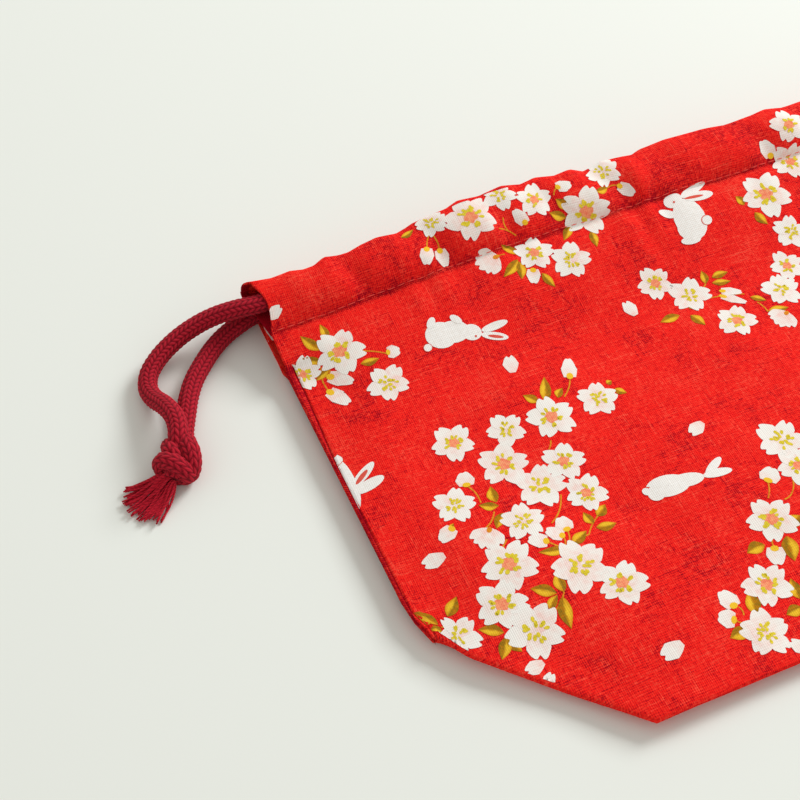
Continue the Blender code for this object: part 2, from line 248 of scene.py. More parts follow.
camera = {
    "place": (-232.9, -243.3, 394.3),
    "down": 51.90, "turn": 23.66,  # degrees
    "lens": 67.5, "sensor": 36, "frame": 800,
}
eye = np.array(camera["place"])
down, turn = math.radians(camera["down"]), math.radians(camera["turn"])
lookAlong = np.array([math.sin(turn) * math.cos(down), math.cos(turn) * math.cos(down), -math.sin(down)])
lookRight = np.array([math.cos(turn), -math.sin(turn), 0.0])
lookUp = np.cross(lookRight, lookAlong)
cameraData = bpy.data.cameras.new("camera")
cameraData.lens = camera["lens"]
cameraData.sensor_width = camera["sensor"]
cameraObject = bpy.data.objects.new("camera", cameraData)
cameraObject.location = Vector(eye * 0.001)
cameraObject.rotation_euler = Vector(lookAlong).to_track_quat("-Z", "Y").to_euler()
bpy.context.scene.collection.objects.link(cameraObject)
bpy.context.scene.camera = cameraObject


def seenAt(points):
    # the pixel of the square frame where each point shows
    away = points - eye
    scale = camera["frame"] * camera["lens"] / camera["sensor"] / (away @ lookAlong)
    middle = camera["frame"] / 2
    return np.stack([middle + (away @ lookRight) * scale, middle - (away @ lookUp) * scale], -1)


print("camera placed")


# Materials: sums on sockets are written as expressions, any other node through node()

class Wire:
    def __init__(self, tree, socket=None):
        self.tree = tree
        self.socket = socket

    def node(self, kind, settings=None, values=None, out=0):
        made = self.tree.nodes.new(kind)
        for key, value in (settings or {}).items():
            setattr(made, key, value)
        for key, value in (values or {}).items():
            if isinstance(value, Wire):
                self.tree.links.new(value.socket, made.inputs[key])
            else:
                made.inputs[key].default_value = value
        return Wire(self.tree, made.outputs[out])

    def sum(self, operation, *values):
        return self.node("ShaderNodeMath", {"operation": operation}, dict(enumerate(values)))

    def __add__(self, other):
        return self.sum("ADD", self, other)

    def __radd__(self, other):
        return self.sum("ADD", other, self)

    def __sub__(self, other):
        return self.sum("SUBTRACT", self, other)

    def __rsub__(self, other):
        return self.sum("SUBTRACT", other, self)

    def __mul__(self, other):
        return self.sum("MULTIPLY", self, other)

    def __rmul__(self, other):
        return self.sum("MULTIPLY", other, self)

    def __pow__(self, other):
        return self.sum("POWER", self, other)

    def sin(self):
        return self.sum("SINE", self)

    def frac(self):
        return self.sum("FRACT", self)

    def floor(self):
        return self.sum("FLOOR", self)

    def over(self, low, high):
        # smooth step from 0 at low to 1 at high
        return self.node("ShaderNodeMapRange", {"interpolation_type": "SMOOTHSTEP"},
                         {"Value": self, "From Min": low, "From Max": high})

    def blend(self, a, b, share):
        # colours a and b mixed by share
        return self.node("ShaderNodeMix", {"data_type": "RGBA"},
                         {0: share, 6: self.colour(a), 7: self.colour(b)}, out=2)

    def colour(self, value):
        return value if isinstance(value, Wire) else (*value, 1)

    def vector(self, x, y, z=0.0):
        return self.node("ShaderNodeCombineXYZ", None, {0: x, 1: y, 2: z})

    def noise(self, place, scale, detail=2.0, roughness=0.5):
        return self.node("ShaderNodeTexNoise", None,
                         {"Vector": place, "Scale": scale, "Detail": detail, "Roughness": roughness})

    def laid(self):
        # the piece's own u and v, in mm along and across its cloth or cord
        place = self.node("ShaderNodeUVMap", {"uv_map": "laid"})
        split = self.tree.nodes.new("ShaderNodeSeparateXYZ")
        self.tree.links.new(place.socket, split.inputs[0])
        return Wire(self.tree, split.outputs[0]), Wire(self.tree, split.outputs[1])

    def mark(self, name):
        return self.node("ShaderNodeAttribute", {"attribute_name": name}, out=2)


def shade(r, g, b):
    # an sRGB colour from 0 to 255, as the shader's linear numbers
    share = (r / 255, g / 255, b / 255)
    return tuple(c / 12.92 if c <= 0.04045 else ((c + 0.055) / 1.055) ** 2.4 for c in share)


def newFinish(name, rough=0.85, specular=0.25, sheen=0.0):
    # a material with its shader's constant sockets set, and a wire to build its colour and bump from
    made = bpy.data.materials.new(name)
    made.use_nodes = True
    shader = made.node_tree.nodes["Principled BSDF"]
    shader.inputs["Roughness"].default_value = rough
    shader.inputs["Specular IOR Level"].default_value = specular
    shader.inputs["Sheen Weight"].default_value = sheen
    shader.inputs["Sheen Roughness"].default_value = 0.5
    return made, Wire(made.node_tree), shader


def dress(made, shader, colour, height=None, distance=0.0):
    # joins the colour and the bump's height to the shader
    tree = made.node_tree
    tree.links.new(colour.socket, shader.inputs["Base Color"])
    if height is not None:
        bump = colour.node("ShaderNodeBump", None, {"Height": height, "Distance": distance})
        tree.links.new(bump.socket, shader.inputs["Normal"])


# threads' pitch both ways in mm, how far they wander, and the bumps' depth in metres
weave = {"up": 0.62, "across": 0.78, "wander": 0.42, "bump": 0.00013, "inkBump": 0.00007}


def weaveHeight(w, u, v):
    # threads both ways, each a sine of uneven width: h = 1/2 + a sin(2 pi u/p) + b sin(2 pi v/q)
    du = (w.noise(w.vector(u * 0.5, v * 0.12), 0.8, 2.0) - 0.5) * weave["wander"] * 2
    dv = (w.noise(w.vector(v * 0.5, u * 0.12, 7.0), 0.8, 2.0) - 0.5) * weave["wander"] * 2
    patch = w.noise(w.vector(u, v, 3.0), 0.09, 2.0).over(0.3, 0.7)
    up = ((u + du) * (2 * math.pi / weave["up"])).sin() * (patch * 0.16 + 0.16)
    across = ((v + dv) * (2 * math.pi / weave["across"])).sin() * (0.30 - patch * 0.14)
    return up + across + 0.5


def slubs(w, u, v):
    # thick and thin threads both ways: noise drawn out along the thread, two wires from about -1 to 1
    across = w.noise(w.vector(u * 0.07, v * 1.25), 1.0, 3.0, 0.62) * 2 - 1
    up = w.noise(w.vector(u * 1.25, v * 0.07, 11.0), 1.0, 3.0, 0.62) * 2 - 1
    return across, up


def slubRelief(height, across, up):
    return height + across * 0.6 + up * 0.5


# three colours, then how much each kind of mark darkens or lightens the cotton; grooveShade is painted shade in the
# weave's grooves between the threads
cottonLook = {
    "red": shade(250, 34, 27), "deep": shade(160, 5, 26), "light": shade(255, 84, 64),
    "slubDark": 0.32, "blotchDark": 0.14, "speckDark": 0.22, "lineDark": 0.34, "grooveShade": 0.65,
    "shortDark": 1.3,
    "acrossBright": 0.55, "upBright": 0.50, "blotchBright": 0.25, "shortBright": 1.4,
}


def makeCotton():
    made, w, shader = newFinish("redSlubCotton", rough=0.9, specular=0.06)
    u, v = w.laid()
    look = cottonLook
    height = weaveHeight(w, u, v)
    across, up = slubs(w, u, v)
    blotch = w.noise(w.vector(u, v), 0.045, 4.0, 0.62)
    speck = w.noise(w.vector(u, v), 0.9, 4.0, 0.72)
    patch = w.noise(w.vector(u, v, 9.0), 0.2, 3.0, 0.6)
    # short darker and lighter dashes along the threads, both ways
    short = w.noise(w.vector(u * 0.55, v * 2.4, 2.0), 1.0, 2.0, 0.6)
    short = short + w.noise(w.vector(u * 2.4, v * 0.55, 4.0), 1.0, 2.0, 0.6) - 1
    # thin darker lines, as where cotton has been rubbed and creased
    line = w.noise(w.vector(u * 0.8, v, 5.0), 0.13, 3.0, 0.7) * 2 - 1
    line = (1 - line.sum("ABSOLUTE", line) * 8).over(0.1, 1.0) * blotch.over(0.42, 0.64)
    dark = across.over(0.0, 0.5) * look["slubDark"] + up.over(0.0, 0.5) * look["slubDark"]
    dark = dark + blotch.over(0.44, 0.68) * look["blotchDark"]
    dark = dark + speck.over(0.46, 0.74) * look["speckDark"] * patch.over(0.38, 0.66)
    dark = dark + line * look["lineDark"]
    # painted shade: the weave's grooves and the shadow mark darken the cotton towards the deep colour
    dark = dark + (0.60 - height) * look["grooveShade"] + short * look["shortDark"] + w.mark("shadow")
    bright = (across * -1.0).over(0.05, 0.5) * look["acrossBright"]
    bright = bright + (up * -1.0).over(0.05, 0.5) * look["upBright"]
    bright = bright + (0.5 - blotch).over(0.0, 0.2) * look["blotchBright"]
    bright = bright * (0.5 + 0.7 * patch) - short * look["shortBright"]
    colour = w.blend(look["red"], look["light"], bright.over(-0.05, 0.8))
    colour = w.blend(colour, look["deep"], dark.over(0.05, 1.0))
    dress(made, shader, colour, slubRelief(height, across, up), weave["bump"])
    return made


def makeInk(name, build):
    # a print colour on the same weave; a little of the red ground shows between its threads
    made, w, shader = newFinish(name, rough=0.88, specular=0.06)
    u, v = w.laid()
    height = weaveHeight(w, u, v)
    across, up = slubs(w, u, v)
    colour = build(w, u, v)
    thin = (0.45 - height).over(0.0, 0.35) * 0.05 + across.over(0.2, 0.6) * 0.08 + up.over(0.2, 0.6) * 0.06
    colour = w.blend(colour, shade(236, 150, 128), thin)
    dress(made, shader, colour, slubRelief(height, across, up), weave["inkBump"])
    return made


def petalColour(w, u, v):
    # white at the rim, pale pink towards the middle, each petal a little different
    pink = w.mark("blush") * 0.75 + w.mark("tone") * 0.9
    cloud = w.noise(w.vector(u, v), 0.5, 2.0, 0.5) * 0.5
    return w.blend(shade(243, 240, 231), shade(246, 196, 184), (pink * cloud * 2).over(0.05, 0.95))


def leafColour(w, u, v):
    # golden, browner towards one side, with a lighter heart; tone runs from -1 to 1 across the leaf
    cloud = w.noise(w.vector(u, v), 0.7, 2.0, 0.6)
    heart = (w.mark("blush") * 0.8 + cloud * 0.5).over(0.2, 0.95)
    gold = w.blend(shade(206, 132, 18), shade(244, 196, 48), heart)
    brown = w.blend(shade(186, 122, 16), shade(140, 108, 22), cloud.over(0.35, 0.65))
    return w.blend(brown, gold, (w.mark("tone") + cloud * 0.8 - 0.4).over(-0.25, 0.30))


def plainColour(a, b):
    def build(w, u, v):
        return w.blend(a, b, w.noise(w.vector(u, v), 0.8, 2.0, 0.6).over(0.3, 0.7))
    return build


# columns of stitches round the cord, a stitch's length in mm, its slant, the relief in shares of the radius
braid = {"columns": 12, "pitch": 1.9, "slant": 0.95, "depth": 0.15, "bump": 0.00012}


def makeBraid(name):
    # crimson yarn: painted shade in the grooves between the plaited stitches and between the fine threads along each
    # stitch, lighter on their crowns
    made, w, shader = newFinish(name, rough=0.88, specular=0.12, sheen=0.04)
    u, v = w.laid()
    column = u.floor()
    f = u - column
    sign = 1 - (column * 0.5).frac() * 4
    q = (v + sign * (f - 0.5) * braid["slant"]).frac()
    yarn = ((q * 4).frac() * math.pi).sin() ** 0.7
    groove = w.mark("groove")
    fuzz = w.noise(w.vector(u * 3, v * 3), 1.6, 3.0, 0.7)
    light = (yarn * 0.35 + fuzz * 0.65) * groove.over(0.0, 0.75)
    colour = w.blend(shade(104, 5, 20), shade(230, 40, 60), light)
    dress(made, shader, colour, yarn * 0.6 + fuzz * 0.8, braid["bump"])
    return made


def makeYarn():
    made, w, shader = newFinish("frayedYarn", rough=0.88, specular=0.12, sheen=0.04)
    u, v = w.laid()
    twist = ((u + v * 0.9).frac() * math.pi).sin()
    fuzz = w.noise(w.vector(u, v), 2.5, 3.0, 0.7)
    # painted shade between the twisted plies, painted highlight on their crowns
    colour = w.blend(shade(124, 8, 28), shade(226, 36, 56), twist * 0.5 + fuzz * 0.5)
    dress(made, shader, colour, twist + fuzz, 0.0001)
    return made


cotton = makeCotton()
braidFinish = makeBraid("crimsonBraid")
yarnFinish = makeYarn()
inks = {
    "petal": makeInk("petalPrint", petalColour),
    "centre": makeInk("centrePrint", plainColour(shade(250, 166, 118), shade(244, 128, 96))),
    "stamen": makeInk("stamenPrint", plainColour(shade(236, 212, 62), shade(212, 192, 44))),
    "leaf": makeInk("leafPrint", leafColour),
    "stem": makeInk("stemPrint", plainColour(shade(222, 118, 30), shade(226, 160, 40))),
    "rabbit": makeInk("rabbitPrint", plainColour(shade(246, 244, 238), shade(240, 236, 228))),
    "line": makeInk("linePrint", plainColour(shade(226, 96, 80), shade(216, 80, 66))),
}
print("materials made")


# Cord: one braid through both casings, knotted at the left

pouch = {
    "width": 280, "height": 193, "gusset": 100, "thickness": 0.6, "inside": 5,
    "backOffset": 4,  # how far the back's mouth lies past the front's
    # casings: depth, length of the slit from the mouth, gap between both, the front's rise to its middle
    "casing": 19, "slit": 33, "casingGap": 0.6, "mouthRise": 4.6, "mouthPlateau": 90,
    "hemGap": 0.35, "foldRadius": 0.9,
    "ridge": 0.84, "swell": 0.72, "bulge": 2.9,  # the casing's hump, and how far the mouth fold reaches out
    # side seams: the line's distance from the edge (below, at the slit), the lip, how the panels meet
    "seamLine": 0.35, "seamTop": 2.0, "seamLip": 0.6, "seamLift": 1.7, "seamDrop": 1.3, "seamRoll": 24,
    "panelRise": 42, "seamRise": 18,  # how far the front's climb to its casing runs: middle, seam
    "baseDrop": 1.5, "backInset": 3.0,  # the front's sag at the base, and the back's base fold set in
}
cord = {
    "across": 6.0, "shown": 6.5, "inset": 7.2, "frontClear": 1.1, "backClear": 0.6,
    "inside": 9.0,  # how far the outer strands' meshes reach into the casings
    "squeezed": 5.0,  # across inside the casings, under the gathers
    # from the casings' left ends to the knot: sideways and up from the mouth's left corner, and the height
    "front": [
        (-8, -5.9, 13.1), (-15, -4.4, 11.4), (-22, -4.0, 9.3), (-29.5, -5.2, 7.1), (-36.8, -8.4, 5.2),
        (-42.4, -13.2, 3.9), (-44.8, -19, 3.5), (-44.4, -25, 4.8), (-42.6, -31, 7.4), (-41.4, -37.4, 9.4),
        (-41.6, -42.4, 9.6), (-42.8, -46.5, 9.0), (-44.4, -50.5, 6.6),
    ],
    "back": [
        (-7, -4.6, 3.8), (-13.5, -7.0, 3.1), (-19.5, -11.2, 3.1), (-25, -16.4, 3.1), (-29.8, -21.8, 3.1),
        (-33.6, -27.8, 3.1), (-36.6, -34, 3.1), (-39.4, -40.2, 3.15), (-41.6, -46.4, 3.4), (-43.6, -50.6, 4.4),
    ],
    "loopStraight": 10, "loopRadius": 12.5,
}
halfWidth = pouch["width"] / 2
middleY = (pouch["height"] + pouch["backOffset"]) / 2
backLevel = pouch["thickness"] / 2
frontLevel = backLevel + pouch["thickness"] + pouch["inside"]
backHump = pouch["thickness"] + 2 * cord["backClear"] + cord["across"]
frontHump = pouch["thickness"] + 2 * cord["frontClear"] + cord["across"]
casingLevel = backLevel + backHump + pouch["thickness"] + pouch["casingGap"]
frontCordZ = casingLevel + frontHump / 2
backCordZ = backLevel + backHump / 2
cordY = pouch["height"] - cord["inset"] - middleY


def mouthRise(x):
    # how much higher the front casing lies at x than at the sides
    return pouch["mouthRise"] * ease((halfWidth - np.abs(x)) / (halfWidth - pouch["mouthPlateau"] / 2))


def fromMouth(points):
    # places given from the mouth's left corner, in the pouch's frame
    return np.array(points, float) + (-halfWidth, pouch["height"] - middleY, 0)


def smoothRoute(points, step):
    # a Catmull-Rom curve through the points, then read off at an even step
    p = np.vstack([2 * points[0] - points[1], points, 2 * points[-1] - points[-2]])
    t = np.linspace(0, 1, 24, endpoint=False)[:, None, None]
    a, b, c, d = p[:-3], p[1:-2], p[2:-1], p[3:]
    curve = 0.5 * (2 * b + (c - a) * t + (2 * a - 5 * b + 4 * c - d) * t**2 + (3 * b - a - 3 * c + d) * t**3)
    curve = np.vstack([curve.transpose(1, 0, 2).reshape(-1, 3), points[-1:]])
    far = np.concatenate([[0], np.cumsum(np.linalg.norm(np.diff(curve, axis=0), axis=1))])
    count = max(2, round(far[-1] / step) + 1)
    even = np.linspace(0, far[-1], count)
    return np.stack([np.interp(even, far, curve[:, k]) for k in range(3)], 1)


def crossways(route):
    # two directions across the route at each point, carried along it without a twist
    along = unit(np.gradient(route, axis=0))
    side = np.empty_like(along)
    side[0] = unit(np.cross(along[0], (0.1, 0.05, 1.0)))
    for k in range(1, len(route)):
        side[k] = unit(side[k - 1] - along[k] * (side[k - 1] @ along[k]))
    return side, np.cross(side, along)


def braidHeight(u, v):
    # u counts the columns round the cord, v the stitches along it. Each stitch slants up its column,
    # left and right by turns: q = frac(v + sign slant (f - 1/2)), h = sin(pi q)^0.7 (0.3 + 0.7 sin(pi f)^0.6)
    # and one end of it tucks under the next column
    column = np.floor(u)
    f = u - column
    sign = 1 - 2 * (column % 2)
    q = v + sign * braid["slant"] * (f - 0.5)
    q = q - np.floor(q)
    tuck = np.where(sign > 0, f, 1 - f)
    return np.sin(np.pi * q) ** 0.7 * (0.3 + 0.7 * np.sin(np.pi * f) ** 0.6) * (0.72 + 0.28 * tuck)


def braidTube(name, route, width, perColumn=5, squash=(1.0, 1.0)):
    # a round cord along the route, r = width/2 (1 - depth (1 - h)), closed at its ends
    side, up = crossways(route)
    around = braid["columns"] * perColumn
    far = np.concatenate([[0], np.cumsum(np.linalg.norm(np.diff(route, axis=0), axis=1))])
    u = np.arange(around) / perColumn
    v = far / braid["pitch"]
    height = braidHeight((u + 1e-6)[None, :], v[:, None])
    reach = width / 2 * (1 + braid["depth"] * (height - 0.72))
    angle = 2 * np.pi * u / braid["columns"]
    points = route[:, None] + (reach * np.cos(angle))[..., None] * squash[0] * side[:, None]
    points = points + (reach * np.sin(angle))[..., None] * squash[1] * up[:, None]
    faces = gridFaces(len(route), around, closed=True)
    r, c = np.divmod(faces[:, 0], around)
    left, right = u[c], u[c] + 1 / perColumn
    corners = ((left, v[r]), (right, v[r]), (right, v[r + 1]), (left, v[r + 1]))
    uv = np.stack([np.stack(place, -1) for place in corners], 1)
    piece = makePiece(name, points, faces, braidFinish, "cord", uv=uv.reshape(-1, 2),
                      marks={"groove": height})
    closeEnds(piece)
    return piece


def closeEnds(piece):
    # fills the open rings and turns every face outwards
    mesh = bmesh.new()
    mesh.from_mesh(piece.data)
    bmesh.ops.holes_fill(mesh, edges=[e for e in mesh.edges if e.is_boundary], sides=0)
    bmesh.ops.recalc_face_normals(mesh, faces=mesh.faces)
    mesh.to_mesh(piece.data)
    mesh.free()


def makeCords():
    frontIn = [(cord["inside"], -cord["inset"], frontCordZ + 0.03), (-0.9, -cord["inset"], frontCordZ)]
    backIn = [(cord["inside"], pouch["backOffset"] - cord["inset"], backCordZ),
              (-0.9, pouch["backOffset"] - cord["inset"], backCordZ)]
    made = []
    for name, inner, outer, node in (("strandUpper", frontIn, cord["front"], "front"),
                                     ("strandLower", backIn, cord["back"], "back")):
        route = smoothRoute(fromMouth(inner + outer), 0.235)
        piece = braidTube(name, route, cord["shown"], squash=(1.04, 0.95))
        standFor(piece, "drawstring", "crimson_braid")
        made.append((piece, route, fromMouth([inner[1]])[0]))
    end = halfWidth + 0.9
    # inside the casings
    xs = np.arange(-halfWidth + cord["inside"] + 0.1, end - cord["inside"], 2.0)
    front = np.stack([xs, np.full_like(xs, cordY), frontCordZ + mouthRise(xs)], 1)
    back = np.stack([xs, np.full_like(xs, cordY + pouch["backOffset"]), np.full_like(xs, backCordZ)], 1)
    for name, run in (("cordInFront", front), ("cordInBack", back)):
        piece = braidTube(name, smoothRoute(run, 0.7), cord["squeezed"], perColumn=2)
        standFor(piece, "drawstring", "crimson_braid")
    # the open loop past the right-hand ends
    start = end + cord["loopStraight"]
    centre = (start + 1.75 * cord["loopRadius"], cordY + pouch["backOffset"] / 2)
    swing = np.radians(np.linspace(-125, 125, 9))
    fall = mix(frontCordZ - 1.5, cord["across"] / 2 + 0.1, ease(np.arange(9) / 5))
    loop = np.stack([centre[0] + cord["loopRadius"] * np.cos(swing),
                     centre[1] + cord["loopRadius"] * np.sin(swing), fall], 1)
    lead = np.array([[xs[-1], cordY, frontCordZ + float(mouthRise(xs[-1]))], [end, cordY, frontCordZ],
                     [start, cordY, frontCordZ - 0.3]])
    tail = np.array([[x, cordY + pouch["backOffset"], backCordZ] for x in (start, end, xs[-1])])
    route = smoothRoute(np.vstack([lead, loop, tail]), 0.3)
    piece = braidTube("cordLoop", route, cord["across"], perColumn=4)
    standFor(piece, "drawstring", "crimson_braid")
    made.append((piece, route, lead[1]))
    return made


cords = makeCords()
print("cords laid")


# Knot: both strands tied in one overhand knot

knot = {
    "centre": (-45.2, -52.8, 5.4), "heading": 231, "across": 6.3,
    # along the knot towards the frayed end, across it to the right, and up, from its middle
    "wraps": [(-6.4, 0.5, 2.6), (-4.6, 1.8, 3.2), (-2.4, 3.6, 3.0), (0.4, 4.9, 1.2), (2.6, 4.4, -1.6),
              (3.4, 1.2, -2.9), (3.4, -2.6, -2.4), (3.0, -4.6, -0.2), (2.6, -3.4, 2.2), (3.0, -0.6, 3.0),
              (3.6, 2.6, 2.0), (3.4, 4.2, -0.6), (0.8, 3.4, -2.6), (-2.6, 0.4, -2.8), (-4.4, -3.2, -1.4),
              (-3.8, -4.2, 1.0), (-1.6, -2.6, 2.6), (0.6, -0.4, 2.2), (3.0, 0.2, 0.6), (6.6, 0.2, -0.8)],
}


def makeKnot():
    heading = math.radians(knot["heading"])
    ahead = np.array([math.cos(heading), math.sin(heading), 0])
    right = np.array([-math.sin(heading), math.cos(heading), 0])
    local = np.array(knot["wraps"], float)
    centre = fromMouth([knot["centre"]])[0]
    points = centre + local[:, :1] * ahead + local[:, 1:2] * right + local[:, 2:] * (0, 0, 1)
    piece = braidTube("knotWraps", smoothRoute(points, 0.24), knot["across"])
    standFor(piece, "cord_knot", "crimson_braid")
    return piece


tassel = {
    "heading": 199, "spread": 38, "length": 16.0, "threads": 60, "across": 0.78, "root": 3.0,
    "rings": 11, "sides": 6, "rootPlace": (-49.6, -57.6, 4.3), "tipHeight": 1.6,
}


def makeTassel():
    # threads from a round root, fanned out: p(t) = root + t length d(a) + a side bow, z falls to the table
    rng = np.random.default_rng(5)
    n, rings, sides = tassel["threads"], tassel["rings"], tassel["sides"]
    spread = np.linspace(-1, 1, n) + rng.uniform(-0.08, 0.08, n)
    angle = np.radians(tassel["heading"] + tassel["spread"] * spread)
    reach = tassel["length"] * (1 - 0.10 * np.abs(spread) ** 2 + rng.uniform(-0.12, 0.06, n))
    layer = rng.uniform(-1, 1, n)
    t = np.linspace(0, 1, rings)[None, :]
    rng.uniform(0, 1, (2, n))  # drawn and not used, so that the bows below stay as they are
    heading = math.radians(tassel["heading"])
    across = np.array([-math.sin(heading), math.cos(heading)])
    centre = fromMouth([tassel["rootPlace"]])[0]
    bow = rng.uniform(-0.9, 0.9, n)[:, None] * np.sin(np.pi * t)
    bow = bow + rng.uniform(-0.5, 0.5, n)[:, None] * np.sin(2 * np.pi * t)
    lead = (t**1.15) * reach[:, None]
    beside = (spread * tassel["root"] * 0.9)[:, None] * (1 - t)
    ahead, aside = np.cos(angle)[:, None], np.sin(angle)[:, None]
    x = centre[0] + across[0] * beside + lead * ahead - bow * aside
    y = centre[1] + across[1] * beside + lead * aside + bow * ahead
    rootHeight = centre[2] + (layer * tassel["root"] * np.sqrt(np.clip(1 - spread**2, 0, 1)))[:, None]
    tip = tassel["across"] / 2 + 0.12 + tassel["tipHeight"] * (0.5 + 0.5 * layer)[:, None]
    z = mix(rootHeight, tip, ease(t * 1.15))
    route = np.stack([x, y, z], -1)
    along = unit(np.gradient(route, axis=1))
    side = unit(np.cross(along, (0, 0, 1.0)))
    up = np.cross(side, along)
    turns = np.linspace(0, 2 * np.pi, sides, endpoint=False)
    radius = tassel["across"] / 2 * (1 - 0.25 * t**6)[..., None, None]
    ring = np.cos(turns)[:, None] * side[:, :, None] + np.sin(turns)[:, None] * up[:, :, None]
    points = (route[:, :, None] + radius * ring).reshape(-1, 3)
    one = gridFaces(rings, sides, closed=True)
    faces = (one[None] + (np.arange(n) * rings * sides)[:, None, None]).reshape(-1, 4)
    r, c = np.divmod(one[:, 0], sides)
    around = ((c, r), (c + 1, r), (c + 1, r + 1), (c, r + 1))
    corner = np.stack([np.stack(place, -1) for place in around], 1)
    uv = (corner * (1 / 3, 1.3))[None] + (np.arange(n) * 3.7)[:, None, None, None]
    piece = makePiece("frayedEnds", points, faces, yarnFinish, "cord", uv=uv.reshape(-1, 2))
    closeEnds(piece)
    standFor(piece, "cord_tassel", "crimson_braid")
    return piece


knotPiece = makeKnot()
tasselPiece = makeTassel()
for index, (piece, route, exitPoint) in enumerate(cords):
    length = float(np.linalg.norm(np.diff(route, axis=0), axis=1).sum()) * 0.001
    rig.cord(piece, exit=exitPoint * 0.001, length=round(length, 3), diameter=cord["across"] * 0.001,
            far_end="object" if index == 2 else "knot", stiffness="limp", lay="loose",
            path=route[::4] * 0.001, with_pieces=[knotPiece, tasselPiece] if index == 0 else [])
print("knot and frayed ends tied")


# Cloth: one strip folded into the pouch, as a grid of (place across, place along the strip)

# the casings' ends: how far the rear wall reaches out and the cut edge bows in; the tucked lower corner
endLook = {"rear": 3.0, "bow": 2.2, "reach": 11.0, "lip": 0.15, "tuck": 3.2, "corner": 12}
gathers = {
    "lift": 1.6, "height": 0.9, "pitch": 16, "waveHeight": 0.5, "wavePitch": 74, "waveLift": 0.8,
    "pinch": 1.3, "lean": 7,  # the pinches' strength, and how far they lean over the casing
}
# how dark the painted shade makes the seam line, the seam's lip, the casings' ends, the stitched line, the pinches and
# the crease over the stitches
paintedShade = {
    "seam": 0.9, "lip": 0.45, "inEnd": 1.4, "atEnd": 1.2, "stitched": 0.5, "pinch": 0.11, "overStitches": 0.13,
}
rowCounts = {
    "hem": 3, "fold": 5, "drop": 7, "slope": 14, "slit": 8, "panel": 54, "gusset": 3, "back": 14,
    "backSlope": 9,
}
# the mouth's line, pulled up and down by the gathers: place from the left corner, shift
mouthWaver = [
    (0, 0), (7, -1.6), (13.5, -1.3), (18, -2.6), (22, -2.6), (26.5, -.4), (31.5, -1.8), (35, -2.2),
    (40, -1.1), (46, -.5), (53, -1.8), (57, -.7), (60, .2), (73, .9), (78, 2.6), (86, 1.6), (95, 2.8),
    (102, 1), (108, 2), (115, 0), (121.5, .7), (126, -1.8), (134, 0), (146, -1.4), (150, .1), (160, .8),
    (176, .1), (185, -1), (197, -.4), (203, .6), (210, -.6), (219, 0), (232, -1), (240, .8), (252, -1.2),
    (263, .4), (271, -1), (280, 0),
]
# gathers pinched across the casing: place at the mouth from the left corner, depth, width
pinches = [
    (29, 1.5, 4.5), (59, 2.1, 5.5), (84, 0.9, 4), (104, 1.3, 5), (128, 1.7, 5), (152, 1.0, 6),
    (188, 1.4, 6), (212, 1.6, 5), (236, 1.2, 6), (258, 1.0, 5),
]


def pinched(x, share):
    # the casing's own lift less the pinches, which lean from the mouth (share 1) to the stitches
    lean = x + halfWidth - gathers["lean"] * (1 - share)
    depths = sum(depth * bell(lean, place, width) for place, depth, width in pinches)
    return gathers["lift"] - gathers["pinch"] * depths


def gather(x):
    # height of the gathers at x: sin of an uneven turn, from 0 up
    turn = 2 * np.pi * x / gathers["pitch"]
    uneven = 0.6 + 0.4 * np.sin(0.23 * turn + 1.3)
    return gathers["height"] * uneven * (0.5 + 0.5 * np.sin(turn + 1.7 * np.sin(0.37 * turn)))


def wave(x, y):
    # broad, shallow waves
    turn = 2 * np.pi / gathers["wavePitch"]
    crossed = np.sin(turn * x + 1.1) * np.sin(0.8 * turn * y)
    return gathers["waveHeight"] * (crossed + 0.6 * np.sin(turn * (0.6 * x - y)))


def crumple(x, y):
    # soft creases of cotton that has been handled: two sizes of hills, ridged
    broad = hills(x, y, 31, 3) * 0.35
    ridges = 0.5 - np.abs(hills(x + 0.35 * y, y - 0.2 * x, 19, 8))
    fine = hills(x, y, 7, 21) * 0.10
    return broad + ridges * 0.42 + fine


def sideShare(x):
    return ease((np.abs(x) - (halfWidth - pouch["seamRoll"])) / pouch["seamRoll"])


def seamPlace(y):
    # how far in from the side the seam line lies: further at the slit than below it
    return mix(pouch["seamLine"], pouch["seamTop"], ease((y - 112) / 46))


def baseLine(x):
    # lower outline: the base fold, then the slanted corner of the folded gusset
    return np.maximum(0.0, np.abs(x) - (halfWidth - pouch["gusset"] / 2))


def backHeight(x, seam):
    return backLevel + pouch["seamLift"] * sideShare(x) * seam


def frontHeight(x, y, seam):
    stitches = casingLevel + mouthRise(x) + pouch["thickness"] + pouch["hemGap"]
    side = sideShare(x)
    run = mix(pouch["panelRise"], pouch["seamRise"], side)
    climb = ease((y - (pouch["height"] - pouch["casing"] - run)) / run)
    low = frontLevel - pouch["seamDrop"] * side * seam + gathers["waveLift"]
    low = low - pouch["baseDrop"] * (1 - ease((y - baseLine(x)) / 45)) * (1 - side)
    rest = (1 - side) * (wave(x, y) + crumple(x, y))
    seamLine = 0.8 * bell(np.abs(x), halfWidth - seamPlace(y), 0.35) * seam
    high = stitches + 0.3 * crumple(x, y) * (1 - side)
    return mix(low + rest, high, climb) + gather(x) * climb**2 * (1 - side) - seamLine


def casingHump(share, top):
    # up from the stitches as sin^swell to the ridge, then down a quarter ellipse to the mouth fold
    ridge = pouch["ridge"]
    swell = np.sin(np.pi / 2 * np.clip(share / ridge, 0, 1)) ** pouch["swell"]
    rise = mix(pouch["thickness"] + pouch["hemGap"], top, swell)
    fall = np.clip((share - ridge) / (1 - ridge), 0, 1)
    return np.where(share < ridge, rise, mix(2 * pouch["foldRadius"], top, np.sqrt(1 - fall**2)))


def folded(y, start, end, reach, rows):
    # a half ellipse from height start to height end, bulging by reach from y
    a = np.linspace(0, np.pi, rows)[:, None]
    return y + reach * np.sin(a), (start + end) / 2 + (start - end) / 2 * np.cos(a)


